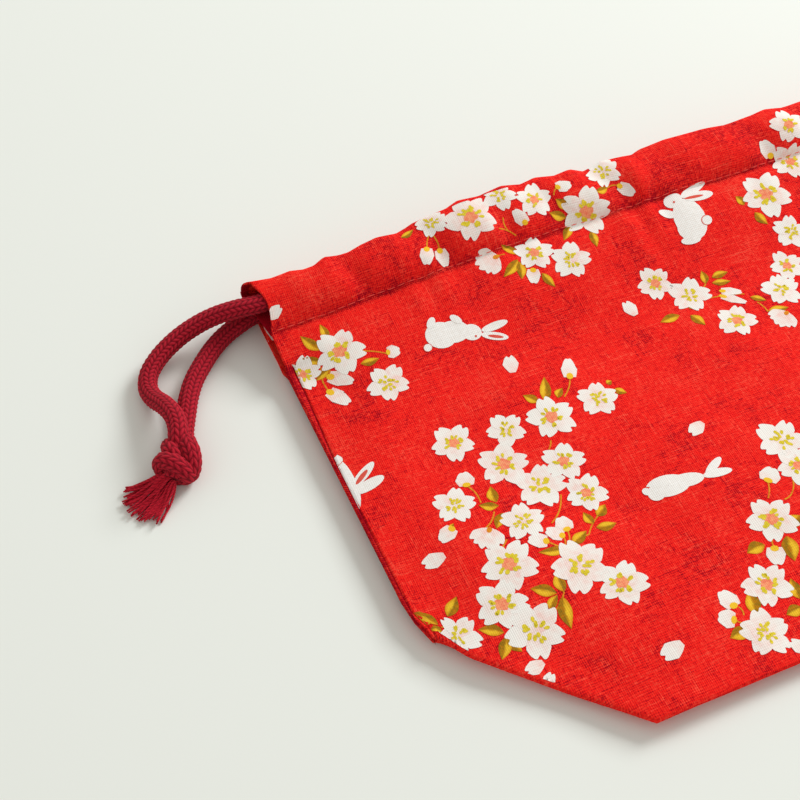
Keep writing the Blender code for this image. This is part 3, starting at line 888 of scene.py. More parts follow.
def casingShares():
    # shares from the mouth to the stitches, close together where the casing falls to its fold
    drop = pouch["ridge"] + (1 - pouch["ridge"]) * np.cos(np.linspace(0, np.pi / 2, rowCounts["drop"] + 1))
    slope = np.linspace(pouch["ridge"], 0, rowCounts["slope"] + 1)
    return np.concatenate([drop[1:], slope[1:]])[:, None]


def frontCasing(x):
    low = casingLevel + mouthRise(x)
    stitches = pouch["height"] - pouch["casing"]
    waver = np.interp(x + halfWidth, *np.array(mouthWaver).T)
    turn = pouch["height"] - pouch["foldRadius"] + pouch["bulge"] + waver * 0.9
    t = np.linspace(0, 1, rowCounts["hem"], endpoint=False)[:, None]
    radius = pouch["foldRadius"]
    parts = [(mix(stitches + pouch["hemGap"], turn, t), low + 0 * t)]
    parts.append(folded(turn, low, low + 2 * radius, radius, rowCounts["fold"]))
    share = casingShares()
    folds = gather(x) * np.cos(np.pi * share / 2) + pinched(x, share) * np.sin(np.pi * share**0.6)
    folds = (folds + 0.35 * crumple(x, stitches + pouch["casing"] * share)) * (1 - sideShare(x))
    y = mix(stitches, turn, share)
    z = low + casingHump(share, frontHump) + folds + 0.25 * waver * bell(share, pouch["ridge"], 0.35)
    parts.append((y, z))
    return parts


def backCasing(x):
    mouth = pouch["height"] + pouch["backOffset"]
    stitches = mouth - pouch["casing"]
    radius = pouch["foldRadius"]
    turn = mouth - radius
    t = np.linspace(0, 1, rowCounts["hem"], endpoint=False)[:, None]
    parts = [(mix(stitches, turn, t) + 0 * x, backLevel + 0 * t * x)]
    parts.append(folded(turn + 0 * x, backLevel, backLevel + 2 * radius, radius, rowCounts["fold"]))
    slope = np.linspace(pouch["ridge"], 0, rowCounts["backSlope"] + 1)[1:, None]
    share = np.concatenate([casingShares()[:rowCounts["drop"]], slope])
    y = mix(stitches + pouch["hemGap"], turn, share) + 0 * x
    parts.append((y, backLevel + casingHump(share, backHump) + 0 * x))
    return parts


def baseFolds(x, front, back):
    # round the front fold, up to the crease, back down and round the back fold, as an M on its side
    low = baseLine(x)
    depth = np.maximum(0.0, pouch["gusset"] / 2 - low)
    inset = np.minimum(pouch["backInset"], depth / 3)
    step = (front - back) / 3
    reach = np.minimum(step / 2, depth / 4)
    n = rowCounts["fold"]
    t = np.linspace(0, 1, rowCounts["gusset"] + 2)[1:-1, None]
    upper = (mix(low + reach, low + depth - reach, t), front - step + 0 * t)
    lower = (mix(low + depth - reach, low + inset + reach, t), back + step + 0 * t)
    return [folded(low + reach, front, front - step, -reach, n), upper,
            folded(low + depth - reach, front - step, back + step, reach, n), lower,
            folded(low + inset + reach, back + step, back, -reach, n)]


def clothStrip(x):
    # the whole strip at the places x: y and z of every row, and which rows the side seams join
    stitches = pouch["height"] - pouch["casing"]
    slit = pouch["height"] - pouch["slit"]
    parts = frontCasing(x)
    stitchRow = sum(len(p[0]) for p in parts) - 1
    ySlit = np.linspace(stitches, slit, rowCounts["slit"] + 1)[1:, None] + 0 * x
    seam = (np.arange(1, rowCounts["slit"] + 1) == rowCounts["slit"])[:, None] * 1.0
    parts.append((ySlit, frontHeight(x, ySlit, seam)))
    firstSeam = sum(len(p[0]) for p in parts) - 1
    low = baseLine(x)
    frontLow, backLow = frontHeight(x, low, 1), backHeight(x, 1)
    reach = np.minimum((frontLow - backLow) / 6, np.maximum(0.0, pouch["gusset"] / 2 - low) / 4)
    t = np.linspace(0, 1, rowCounts["panel"] + 1)[1:-1, None]
    yPanel = mix(slit, low + reach, t)
    parts.append((yPanel, frontHeight(x, yPanel, 1)))
    parts += baseFolds(x, frontLow, backLow)
    t = np.linspace(1, 0, rowCounts["back"] + 1)[1:, None]
    inset = np.minimum(pouch["backInset"], np.maximum(0.0, pouch["gusset"] / 2 - low) / 3)
    yBack = mix(slit, low + inset + reach, t)
    parts.append((yBack, backHeight(x, 1) + 0 * yBack))
    lastSeam = sum(len(p[0]) for p in parts) - 1
    yOpen = np.linspace(slit, stitches + pouch["backOffset"], 5)[1:-1, None] + 0 * x
    parts.append((yOpen, backHeight(x, 0) + 0 * yOpen))
    parts += backCasing(x)
    y = np.vstack([np.broadcast_to(p[0], np.broadcast_shapes(p[0].shape, x.shape)) for p in parts])
    z = np.vstack([np.broadcast_to(p[1], np.broadcast_shapes(p[1].shape, x.shape)) for p in parts])
    return y, z, stitchRow, firstSeam, lastSeam


def clothColumns():
    # close together at the side seams, about 1.1 mm apart between them
    edge = halfWidth - 7
    fine = np.linspace(edge, halfWidth, 23)[1:]
    return np.concatenate([-fine[::-1], np.linspace(-edge, edge, 242), fine])[None, :]


def edgeFill(a, edge):
    # the array with its two edge columns
    return np.hstack([edge[:, :1], a, edge[:, 1:]])


def endsOfCasing(count):
    # how far each row's ends move out: the rear wall reaches further than the cut edge, which bows inwards
    out = np.zeros(count)
    hem, fold, drop, slope = (rowCounts[k] for k in ("hem", "fold", "drop", "slope"))
    out[:hem] = np.linspace(0, 1, hem, endpoint=False) * endLook["rear"]
    out[hem:hem + fold] = endLook["rear"]
    ridge = hem + fold + drop
    out[hem + fold:ridge] = endLook["rear"] * np.sin(np.linspace(1, 0, drop) * np.pi / 2)
    out[ridge:ridge + slope] = -endLook["bow"] * np.sin(np.linspace(0, np.pi, slope))
    return out


def clothShadow(x, y, v, rows, below):
    # painted shade: how much darker the cotton is along the seams, in and at the casing's ends, at stitches and
    # pinches, where these lie in shade
    seamAt = halfWidth - seamPlace(y)
    hem, fold, drop = rowCounts["hem"], rowCounts["fold"], rowCounts["drop"]
    stitches = pouch["height"] - pouch["casing"]
    pastSide = np.abs(x) - halfWidth
    dark = paintedShade["seam"] * bell(np.abs(x), seamAt, 0.4) * below
    dark = dark + paintedShade["lip"] * ease((np.abs(x) - seamAt) / 0.6) * below
    dark = dark + paintedShade["inEnd"] * (rows < hem + 1) * ease((pastSide + 14) / 12)
    dark = dark + paintedShade["atEnd"] * (rows > hem) * (rows < hem + fold + drop // 2) * ease(pastSide / 2.2)
    dark = dark + paintedShade["stitched"] * bell(v, stitches - 0.2, 0.5)
    onCasing = (v > stitches) * (rows > hem + fold)
    share = np.clip((v - stitches) / pouch["casing"], 0, 1)
    pressed = np.clip(gathers["lift"] - pinched(x, share), 0, 2)
    return dark + onCasing * (paintedShade["pinch"] * pressed + paintedShade["overStitches"] * bell(share, 0.16, 0.08))


def makeCloth():
    x = clothColumns()
    y, z, stitchRow, first, last = clothStrip(x)
    x = np.broadcast_to(x, y.shape).copy()
    rows = np.arange(len(y))[:, None]
    below = (rows >= first) & (rows <= last)
    # edge columns, joined below the slits
    edgeX = x[:, [0, -1]] + np.sign(x[:, [0, -1]]) * pouch["seamLip"]
    edgeY, edgeZ = y[:, [0, -1]].copy(), z[:, [0, -1]].copy()
    joined = slice(first, last + 1)
    edgeY[joined] = np.maximum(edgeY[joined], pouch["gusset"] / 2)
    front, back = edgeZ[joined], edgeZ[joined][::-1]
    edgeZ[joined] = mix(np.maximum(front, back), np.minimum(front, back), endLook["lip"])
    x, y, z = edgeFill(x, edgeX), edgeFill(y, edgeY), edgeFill(z, edgeZ)
    out = endsOfCasing(len(y))[:, None]
    x = x + np.sign(x) * out * ease((np.abs(x) - halfWidth + endLook["reach"]) / endLook["reach"])
    # the folded corner is tucked in and rounded
    reach = endLook["corner"]
    corner = ease((pouch["gusset"] / 2 + reach - y) / reach) * ease((np.abs(x) - halfWidth + reach) / reach)
    x = x - np.sign(x) * endLook["tuck"] * corner * below
    points = np.stack([x, y - middleY, z], -1)
    steps = np.linalg.norm(np.diff(points, axis=0), axis=2)
    run = np.concatenate([np.zeros((1, x.shape[1])), np.cumsum(steps, axis=0)])
    v = (pouch["height"] - pouch["casing"]) - (run - run[stitchRow])
    faces = gridFaces(*x.shape)[:, ::-1]
    piece = makePiece("pouchCloth", points, faces, cotton, "pouch", uv=np.stack([x.ravel(), v.ravel()], 1),
                      marks={"shadow": clothShadow(x, y, v, rows, below)})
    mesh = bmesh.new()
    mesh.from_mesh(piece.data)
    bmesh.ops.remove_doubles(mesh, verts=mesh.verts, dist=0.00001)
    bmesh.ops.dissolve_degenerate(mesh, edges=mesh.edges, dist=0.000001)
    bmesh.ops.recalc_face_normals(mesh, faces=mesh.faces)
    mesh.to_mesh(piece.data)
    mesh.free()
    wall = piece.modifiers.new("thickness", "SOLIDIFY")
    wall.thickness = pouch["thickness"] * 0.001
    wall.offset = 0
    wall.use_even_offset = True
    standFor(piece, "pouch_cloth", "red_slub_cotton")
    return piece, points, v


clothPiece, clothPoints, clothV = makeCloth()
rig.sheet(clothPiece, flat=(0.28, 0.524), held="folded")
print("cloth folded,", len(clothPiece.data.polygons), "faces")

# the strip again at even steps along it, so that print and stitches can be laid on it by (across, along)
evenStep = 0.5
vEven = np.arange(-290, 196.1, evenStep)
columnX = clothPoints[0, :, 0]
evenPoints = np.stack([
    np.stack([np.interp(vEven, clothV[::-1, k], clothPoints[::-1, k, a]) for a in range(3)], -1)
    for k in range(len(columnX))], 1)
evenNormal = unit(np.cross(np.gradient(evenPoints, axis=1), np.gradient(evenPoints, axis=0)) + 1e-9)


def onCloth(x, v, lift, cut=True):
    # the point at x across and v along the strip, lift above the cloth's outer face, cut off at the seams
    if cut:
        inSeam = ease((pouch["height"] - pouch["slit"] + 5 - v) / 6) * (v > -250)
        edge = mix(halfWidth + pouch["seamLip"], halfWidth - seamPlace(v) - 0.45, inSeam)
        x = np.clip(x, -edge, edge)
    # it ends at the base fold, and on the back it makes up for the strip's shorter run through the corners
    low = baseLine(x)
    onBack = np.minimum(v, -pouch["gusset"] - 4 - low) + 4 * low
    v = np.where(v > -pouch["gusset"] / 2, np.maximum(v, low + 0.9), onBack)
    c = np.interp(x, columnX, np.arange(len(columnX)))
    r = np.clip((v - vEven[0]) / evenStep, 0, len(vEven) - 1.001)
    i, j = np.floor(r).astype(int), np.minimum(np.floor(c).astype(int), len(columnX) - 2)
    s, t = (r - i)[..., None], (c - j)[..., None]

    def read(a):
        return mix(mix(a[i, j], a[i + 1, j], s), mix(a[i, j + 1], a[i + 1, j + 1], s), t)

    return read(evenPoints) + read(evenNormal) * (pouch["thickness"] / 2 + 0.03 + np.asarray(lift)[..., None])


frontRows = slice(int(np.searchsorted(vEven, 0)), len(vEven))
seenGrid = seenAt(evenPoints[frontRows] + evenNormal[frontRows] * 0.4)
seenGrid[vEven[frontRows][:, None] < baseLine(columnX)[None, :] + 1] = 1e6


def clothAt(px, py):
    # the place on the front that shows at a pixel of the photograph's frame
    gap = np.hypot(seenGrid[..., 0] - px, seenGrid[..., 1] - py)
    i, j = np.unravel_index(np.argmin(gap), gap.shape)
    return columnX[j], vEven[frontRows][i]


# Print: own simple drawings of blossoms, buds, leaves, loose petals and rabbits, laid on the cloth

printed = {name: {"points": [], "faces": [], "blush": [], "tone": [], "count": 0} for name in inks}
dice = np.random.default_rng(12)


def lay(ink, x, v, faces, blush, tone, lift):
    # adds a patch of that ink; x and v are arrays of one size
    page = printed[ink]
    page["points"].append(np.stack([x.ravel(), v.ravel(), np.full(x.size, lift)], 1))
    page["faces"].append(faces + page["count"])
    page["blush"].append(np.broadcast_to(blush, x.shape).ravel())
    page["tone"].append(np.broadcast_to(tone, x.shape).ravel())
    page["count"] += x.size


def oval(rx, rv, sides, rings, ragged=0.0):
    # r(a) = 1 + ragged sin(5a), stretched to rx, rv, as rings from the middle out
    a = np.linspace(0, 2 * np.pi, sides, endpoint=False)[None, :]
    r = np.linspace(0.02, 1, rings + 1)[:, None] * (1 + ragged * np.sin(5 * a))
    return r * np.cos(a) * rx, r * np.sin(a) * rv, gridFaces(rings + 1, sides, closed=True)


def turned(x, v, angle):
    c, s = math.cos(angle), math.sin(angle)
    return x * c - v * s, x * s + v * c


def disc(ink, cx, cv, rx, rv, turn=0.0, lift=0.10, sides=12, rings=2, ragged=0.0, blush=0.0, tone=0.0):
    x, v, faces = oval(rx, rv, sides, rings, ragged)
    x, v = turned(x, v, turn)
    lay(ink, cx + x, cv + v, faces, blush, tone, lift)


def petal(cx, cv, size, turn, tone, lift, wide=0.40, root=0.10, notch=0.16, rim=0.36):
    # along it p, across it f: w(p) = wide sin(pi (root + (0.60 - root) p^0.9))^0.8, and the rim falls back
    # by notch exp(-(f/0.2)^2) in the middle and by rim |f|^2.6 at its corners
    f = np.linspace(-1, 1, 17)[None, :]
    p = np.linspace(0, 1, 6)[:, None]
    wave = 1 + 0.02 * np.sin(4 * f + 7 * turn)
    along = size * p * (1 - p**1.6 * (notch * np.exp(-((f / 0.2) ** 2)) + rim * np.abs(f) ** 2.6)) * wave
    across = size * f * wide * np.sin(np.pi * (root + (0.60 - root) * p**0.9)) ** 0.8
    x, v = turned(along, across, turn)
    lay("petal", cx + x, cv + v, gridFaces(6, 17), (1 - p) + 0 * f, tone, lift)


def stroke(ink, x0, v0, x1, v1, width, lift, bend=0.0, steps=2):
    # a ribbon from one place to the other, bowed sideways by bend
    t = np.linspace(0, 1, steps + 1)[:, None]
    length = math.hypot(x1 - x0, v1 - v0) + 1e-6
    nx, nv = -(v1 - v0) / length, (x1 - x0) / length
    off = np.array([[-0.5, 0.5]]) * width + bend * np.sin(np.pi * t)
    lay(ink, mix(x0, x1, t) + nx * off, mix(v0, v1, t) + nv * off, gridFaces(steps + 1, 2), 0, 0, lift)


def blossom(x, v, size, turn, kind):
    tones = dice.uniform(0.0, 0.6, 5)
    for k in range(5):
        a = turn + 2 * math.pi * k / 5 + dice.uniform(-0.06, 0.06)
        petal(x, v, size * dice.uniform(0.94, 1.05), a, tones[k], 0.07 + 0.008 * k,
              wide=dice.uniform(0.37, 0.41), notch=dice.uniform(0.14, 0.19))
    if kind == "warm":
        disc("centre", x, v, size * 0.26, size * 0.26, turn, 0.125, sides=15, ragged=0.16)
    # stamens in five groups of dots and short strokes
    for k in range(5):
        group = turn + 2 * math.pi * (k + 0.5) / 5 + dice.uniform(-0.15, 0.15)
        for j in range(4):
            a = group + dice.uniform(-0.40, 0.40)
            far = size * dice.uniform(0.25 if kind == "warm" else 0.12, 0.42)
            dx, dv = far * math.cos(a), far * math.sin(a)
            stroke("stamen", x + dx * 0.72, v + dv * 0.72, x + dx, v + dv, size * 0.065, 0.14)
            disc("stamen", x + dx, v + dv, size * 0.088, size * 0.064, a, 0.145, sides=8, rings=1)


def halfBlossom(x0, v0, x1, v1, size):
    # a flower seen from its side: three petals fanned from the calyx (0) towards 1
    turn = math.atan2(v1 - v0, x1 - x0)
    for k in (-1, 1, 0):
        tone = dice.uniform(0.2, 0.6)
        petal(x0, v0, size * (1.0 - 0.06 * abs(k)), turn + 0.74 * k, tone, 0.07 + 0.01 * (k == 0))
    disc("stem", x0, v0, size * 0.16, size * 0.12, turn, 0.10, sides=8)


def leaf(x0, v0, x1, v1, wide, bend=0.0):
    # w(t) = 0.44 wide sin(pi t^0.85)^1.05, bowed; tone runs from -1 to 1 across it, blush is 1 at its heart
    t = np.linspace(0, 1, 12)[:, None]
    f = np.linspace(-1, 1, 5)[None, :]
    length = math.hypot(x1 - x0, v1 - v0)
    nx, nv = -(v1 - v0) / length, (x1 - x0) / length
    half = wide * 0.44 * np.sin(np.pi * t**0.85) ** 1.05
    off = f * half + bend * np.sin(np.pi * t)
    heart = (1 - np.abs(f - 0.3)) * np.sin(np.pi * t)
    x, v = mix(x0, x1, t) + nx * off, mix(v0, v1, t) + nv * off
    lay("leaf", x, v, gridFaces(12, 5), heart, f + 0 * t, 0.055)


def bud(x0, v0, x1, v1, wide):
    # a white oval from its calyx (0) to its tip (1): one broad petal, with the calyx over its root
    a = math.atan2(v1 - v0, x1 - x0)
    length = math.hypot(x1 - x0, v1 - v0) * 0.98
    petal(x0, v0, length, a, dice.uniform(0.1, 0.5), 0.075, wide=wide * 0.56 / length,
          root=0.24, notch=0.07, rim=0.62)
    dx, dv = math.cos(a) * length * 0.06, math.sin(a) * length * 0.06
    disc("leaf", x0 + dx, v0 + dv, length * 0.17, wide * 0.25, a, 0.095, sides=8, blush=0.8, tone=0.6)


def loosePetal(x, v, size, turn):
    # pointed at the back, a clear notch in front
    cx, cv = x - 0.5 * size * math.cos(turn), v - 0.5 * size * math.sin(turn)
    petal(cx, cv, size, turn, dice.uniform(0.1, 0.4), 0.07, wide=0.37, root=0.09, notch=0.15, rim=0.48)


def rabbit(px, py, parts):
    # own drawing in ovals, as they show in the photograph's frame from its anchor: dx, dy, half length,
    # half width, way in degrees (0 to the right, 90 down), ink. The cloth's slope there sets their places
    x, v = clothAt(px, py)
    here = np.array([[x, v, 0], [x + 1, v, 0], [x, v + 1, 0]], float)
    seen = seenAt(onCloth(here[:, 0], here[:, 1], here[:, 2], cut=False))
    toCloth = np.linalg.inv(np.stack([seen[1] - seen[0], seen[2] - seen[0]], 1))
    for k, (dx, dy, ra, rb, way, ink) in enumerate(parts):
        sx, sy, faces = oval(ra, rb, 20, 5)
        sx, sy = turned(sx, sy, math.radians(way))
        place = np.stack([dx + sx, dy + sy], -1) @ toCloth.T
        yield ink, x + place[..., 0], v + place[..., 1], faces[:, ::-1], 0.075 + 0.007 * k


# places as they show in the photograph's 800-pixel frame: x, y, petal length in mm, kind
blossoms = [
    (339, 352, 9.1, "warm"), (387, 383, 7.6, "cool"), (303, 375, 6.9, "warm"), (471, 216, 9.6, "warm"),
    (535, 199, 6.9, "warm"), (588, 211, 9.8, "warm"), (533, 253, 7.2, "warm"), (572, 259, 7.6, "cool"),
    (430, 222, 5.8, "cool"), (498, 196, 6.6, "cool"), (454, 442, 7.5, "warm"), (506, 430, 7.0, "cool"),
    (552, 417, 8.8, "warm"), (597, 399, 7.2, "cool"), (504, 465, 8.7, "warm"), (564, 460, 7.4, "warm"),
    (541, 486, 8.6, "cool"), (587, 492, 7.1, "warm"), (455, 505, 7.2, "cool"), (525, 521, 7.4, "cool"),
    (510, 563, 9.2, "warm"), (503, 603, 8.6, "warm"), (580, 567, 9.6, "cool"), (621, 582, 8.2, "warm"),
    (534, 631, 9.4, "cool"), (459, 635, 7.7, "cool"), (656, 283, 6.8, "warm"), (690, 296, 7.7, "cool"),
    (737, 321, 7.3, "warm"), (781, 289, 7.4, "cool"), (765, 194, 10.0, "warm"), (789, 124, 7.4, "warm"),
    (791, 161, 7.7, "warm"), (791, 231, 7.0, "cool"), (788, 266, 6.8, "warm"), (782, 440, 8.8, "cool"),
    (798, 466, 7.6, "warm"), (770, 519, 8.6, "warm"), (768, 584, 8.0, "warm"), (768, 632, 8.0, "cool"),
    (601, 172, 6.8, "cool"),
]
# from the calyx to the tip, and the width in mm
buds = [
    (387, 353, 402, 350, 4.6), (330, 376, 354, 382, 4.8), (330, 391, 352, 403, 5.0),
    (427, 248, 428, 266, 5.0), (440, 249, 446, 267, 4.8), (620, 185, 635, 195, 4.4),
    (526, 223, 513, 210, 4.4), (556, 188, 571, 184, 4.6), (570, 377, 568, 358, 4.8),
    (532, 270, 534, 285, 4.6), (467, 486, 463, 471, 5.6), (452, 529, 440, 542, 5.0),
    (567, 530, 560, 516, 5.4), (562, 536, 545, 530, 4.6), (547, 542, 527, 540, 4.8),
    (767, 482, 774, 466, 6.2), (736, 606, 720, 590, 5.6), (735, 620, 716, 617, 5.8),
    (775, 547, 780, 566, 5.6), (771, 157, 762, 140, 5.6), (722, 291, 742, 292, 3.2),
    (722, 296, 748, 303, 3.2),
]
halves = [(496, 257, 478, 267, 8.0), (488, 530, 486, 549, 7.4), (786, 314, 774, 330, 7.0)]
leaves = [
    (322, 350, 301, 336, 4.2), (327, 341, 321, 324, 3.4), (322, 362, 300, 360, 3.6),
    (330, 368, 316, 380, 3.2), (362, 363, 380, 358, 3.4), (517, 255, 500, 245, 3.8),
    (518, 259, 503, 278, 4.2), (519, 262, 523, 279, 4.0), (542, 273, 556, 286, 3.4),
    (567, 217, 549, 213, 4.2), (566, 210, 556, 199, 4.0), (570, 223, 565, 240, 3.8),
    (591, 231, 596, 247, 3.6), (608, 188, 595, 191, 3.2), (402, 237, 414, 229, 3.0),
    (546, 402, 545, 376, 4.4), (540, 402, 524, 394, 3.8), (557, 398, 563, 387, 3.4),
    (613, 389, 627, 393, 3.2), (605, 384, 612, 380, 2.6), (498, 502, 490, 486, 4.2),
    (498, 506, 479, 505, 3.8), (504, 512, 495, 529, 4.0), (598, 515, 606, 503, 4.2),
    (595, 523, 582, 513, 3.6), (597, 527, 618, 522, 3.8), (573, 543, 586, 531, 4.2),
    (567, 548, 540, 552, 3.6), (563, 593, 556, 571, 4.4), (558, 592, 530, 588, 4.6),
    (562, 597, 572, 628, 5.0), (550, 610, 557, 594, 3.4), (438, 625, 412, 614, 5.0),
    (447, 617, 455, 597, 4.6), (442, 631, 424, 636, 3.8), (503, 633, 478, 629, 4.2),
    (507, 637, 503, 660, 4.4), (508, 638, 522, 652, 4.2), (448, 535, 455, 523, 3.0),
    (706, 284, 701, 270, 3.4), (711, 278, 728, 272, 3.4), (711, 283, 730, 281, 3.2),
    (690, 308, 702, 302, 3.4), (680, 314, 660, 322, 4.2), (691, 314, 706, 325, 4.2),
    (768, 312, 788, 308, 3.8), (751, 297, 768, 300, 3.0), (744, 205, 735, 197, 3.8),
    (756, 212, 768, 224, 4.2), (765, 545, 748, 553, 5.0), (788, 525, 800, 515, 5.2),
    (787, 536, 794, 561, 6.0), (756, 613, 747, 592, 5.4), (800, 598, 790, 579, 5.0),
    (800, 607, 786, 615, 4.6), (749, 629, 731, 638, 5.0),
]
stems = [
    (350, 353, 388, 353, 0.6), (326, 364, 330, 376, 0.6), (322, 366, 330, 391, -0.8),
    (427, 249, 430, 234, 0.4), (440, 250, 432, 236, -0.4), (499, 228, 516, 236, 0.6),
    (502, 217, 510, 232, -0.6), (496, 257, 505, 254, 0.2), (608, 187, 620, 185, 0.4),
    (553, 196, 556, 188, 0.3), (570, 377, 565, 397, 0.6), (600, 394, 613, 389, 0.3),
    (467, 486, 480, 504, 0.8), (493, 512, 483, 531, 0.8), (488, 506, 498, 506, 0.2),
    (562, 493, 552, 523, 1.0), (567, 530, 568, 545, 0.5), (547, 542, 567, 546, -0.5),
    (562, 536, 566, 545, 0.3), (590, 533, 598, 514, 0.5), (573, 543, 590, 533, 0.3),
    (563, 593, 553, 613, 0.6), (552, 440, 549, 450, 0.3), (441, 627, 470, 630, 0.6),
    (700, 300, 745, 294, 0.8), (697, 306, 706, 284, 0.4), (737, 607, 745, 615, 0.4),
    (735, 620, 750, 624, -0.4), (767, 482, 769, 497, 0.4), (775, 547, 773, 538, 0.3),
    (794, 478, 793, 492, 0.4), (793, 492, 784, 499, 0.3), (758, 302, 768, 312, 0.3),
    (498, 562, 506, 540, 0.4),
]
petals = [
    (510, 365, 7.4, 75), (433, 561, 7.6, 185), (535, 668, 6.4, 190), (631, 308, 6.8, 100),
    (697, 427, 6.8, 205), (672, 650, 8.0, 195), (275, 313, 6.6, 20), (798, 647, 6.6, 120),
    (547, 681, 5.0, 40),
]
# an anchor, then ovals from it in pixels: dx, dy, half length, half width, way in degrees, ink
rabbits = [
    (446, 333, [
        (-4, 2, 16, 13, 10, "rabbit"), (8, -1, 17, 11, 0, "rabbit"), (27, 0, 10, 8, 10, "rabbit"),
        (50, -6, 14, 4, -18, "rabbit"), (50, 4, 14, 4, 8, "rabbit"), (51, 4.5, 8, 1.6, 8, "line"),
        (-17, 14, 4.6, 4.2, 0, "line"), (-17, 14, 4, 3.6, 0, "rabbit"), (-14, -10, 6, 4, -70, "rabbit"),
        (11, -13, 7, 3.4, 30, "rabbit"), (31, 4, 1.1, 1.1, 0, "line"),
    ]),
    (347, 478, [
        (-1, 5, 27, 9.4, 64, "rabbit"), (16, -2, 16, 5, -44, "rabbit"), (14.5, 0, 9, 2.4, -46, "line"),
        (22, 8, 17, 5.4, -22, "rabbit"), (-10, -18, 5.8, 5.0, 0, "line"),
        (-10, -18, 5.2, 4.4, 0, "rabbit"),
    ]),
    (687, 214, [
        (4, 4, 22, 15.5, 60, "rabbit"), (6, 12, 15, 13, 0, "rabbit"), (-13, -15, 9.4, 8, -20, "rabbit"),
        (7, -27, 15, 5, -38, "rabbit"), (13, -20, 15, 5.2, -14, "rabbit"),
        (8, -18.6, 10, 1.6, -14, "line"), (-19, -1, 9, 4.2, 12, "rabbit"), (20.6, 5, 5.6, 5.2, 0, "line"),
        (21, 5, 5, 4.6, 0, "rabbit"), (5, 25, 10, 4, -8, "rabbit"), (-12, -13, 1.1, 1.1, 0, "line"),
    ]),
    (672, 486, [
        (-3, -1, 22, 11, -10, "rabbit"), (15, -7, 18, 7, -12, "rabbit"), (42, -22, 12, 4.4, -52, "rabbit"),
        (46, -15, 15, 4.4, -14, "rabbit"), (-22, 4, 4.6, 3.6, 20, "line"),
        (-24, 5, 4.6, 3.4, 20, "rabbit"), (-14, 6, 9, 8, 0, "rabbit"),
    ]),
]


# how the print goes on past the photograph's edge, and over the back
repeats = {
    "across": 132.0, "along": -6.0, "fromPixel": 812, "apart": 13, "pastSide": 6,
    "backAcross": 148.0, "backAlong": -292.0, "backBelow": 178, "shortestLeaf": 1.5,
}


def printFront():
    rng = np.random.default_rng(4)
    motifs = []
    for px, py, size, kind in blossoms:
        motifs.append(("blossom", *clothAt(px, py), size, rng.uniform(0, 6.28), kind))
    for ax, ay, bx, by, wide in buds:
        motifs.append(("bud", *clothAt(ax, ay), *clothAt(bx, by), wide))
    for ax, ay, bx, by, size in halves:
        motifs.append(("half", *clothAt(ax, ay), *clothAt(bx, by), size))
    for ax, ay, bx, by, wide in leaves:
        motifs.append(("leaf", *clothAt(ax, ay), *clothAt(bx, by), wide, rng.uniform(-0.5, 0.5)))
    for ax, ay, bx, by, bend in stems:
        motifs.append(("stem", *clothAt(ax, ay), *clothAt(bx, by), bend))
    for px, py, size, angle in petals:
        motifs.append(("petal", *clothAt(px, py), size, math.radians(angle)))
    for px, py, parts in rabbits:
        motifs.append(("rabbit", *clothAt(px, py), list(rabbit(px, py, parts))))
    return motifs


def draw(motif, dx=0.0, dv=0.0):
    kind, x, v, *rest = motif
    x, v = x + dx, v + dv
    if kind in ("bud", "half", "leaf", "stem"):
        endX, endV, *rest = rest
        endX, endV = endX + dx, endV + dv
    if kind == "blossom":
        blossom(x, v, *rest)
    elif kind == "bud":
        bud(x, v, endX, endV, *rest)
    elif kind == "half":
        halfBlossom(x, v, endX, endV, *rest)
    elif kind == "leaf":
        if math.hypot(x - endX, v - endV) > repeats["shortestLeaf"]:
            leaf(x, v, endX, endV, *rest)
    elif kind == "stem":
        stroke("stem", x, v, endX, endV, 0.5, 0.045, *rest, steps=12)
    elif kind == "petal":
        loosePetal(x, v, *rest)
    else:
        for ink, px, pv, faces, lift in rest[0]:
            lay(ink, px + dx, pv + dv, faces, 0, 0, lift)


def layPrint():
    motifs = printFront()
    for motif in motifs:
        draw(motif)
    # the print's repeat fills the part that the photograph cuts off
    large = [other for other in motifs if other[0] in ("blossom", "rabbit", "petal")]
    for motif in motifs:
        x, v = motif[1] + repeats["across"], motif[2] + repeats["along"]
        far = min(math.hypot(x - other[1], v - other[2]) for other in large)
        shown = seenAt(onCloth(np.array([x]), np.array([v]), np.array([0.0])))[0]
        inside = x < halfWidth + repeats["pastSide"]
        if shown[0] > repeats["fromPixel"] and far > repeats["apart"] and inside:
            draw(motif, repeats["across"], repeats["along"])
    # and goes on over the back
    for motif in motifs:
        for dx in (0.0, repeats["backAcross"]):
            if -halfWidth < motif[1] + dx < halfWidth and motif[2] < repeats["backBelow"]:
                draw(motif, dx, repeats["backAlong"])
    # two petals on the back's hem, where it shows beside the slit
    for x, v, size in ((-138.6, -323.0, 3.4), (-138.8, -334.0, 5.6)):
        disc("petal", x, v, size * 0.8, size, 0.0, 0.05, sides=14, rings=3, blush=0.6, tone=0.6)


layPrint()


def makePrint():
    for name, page in printed.items():
        flat = np.vstack(page["points"])
        points = onCloth(flat[:, 0], flat[:, 1], flat[:, 2])
        faces = np.vstack(page["faces"])
        corners = points[faces]
        # faces pressed flat where the print is cut off are left out
        crossed = np.cross(corners[:, 2] - corners[:, 0], corners[:, 3] - corners[:, 1])
        faces = faces[np.linalg.norm(crossed, axis=1) > 0.0008]
        marks = {mark: np.concatenate(page[mark]) for mark in ("blush", "tone")}
        piece = makePiece(name + "Print", points, faces, inks[name], "pouch", uv=flat[:, :2], marks=marks)
        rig.slot(piece, "red_slub_cotton")
        print(name, len(piece.data.polygons), "faces")


makePrint()
print("print laid on the cloth")


# Stitches: a row along the front casing, dashes sunk a little in the cloth

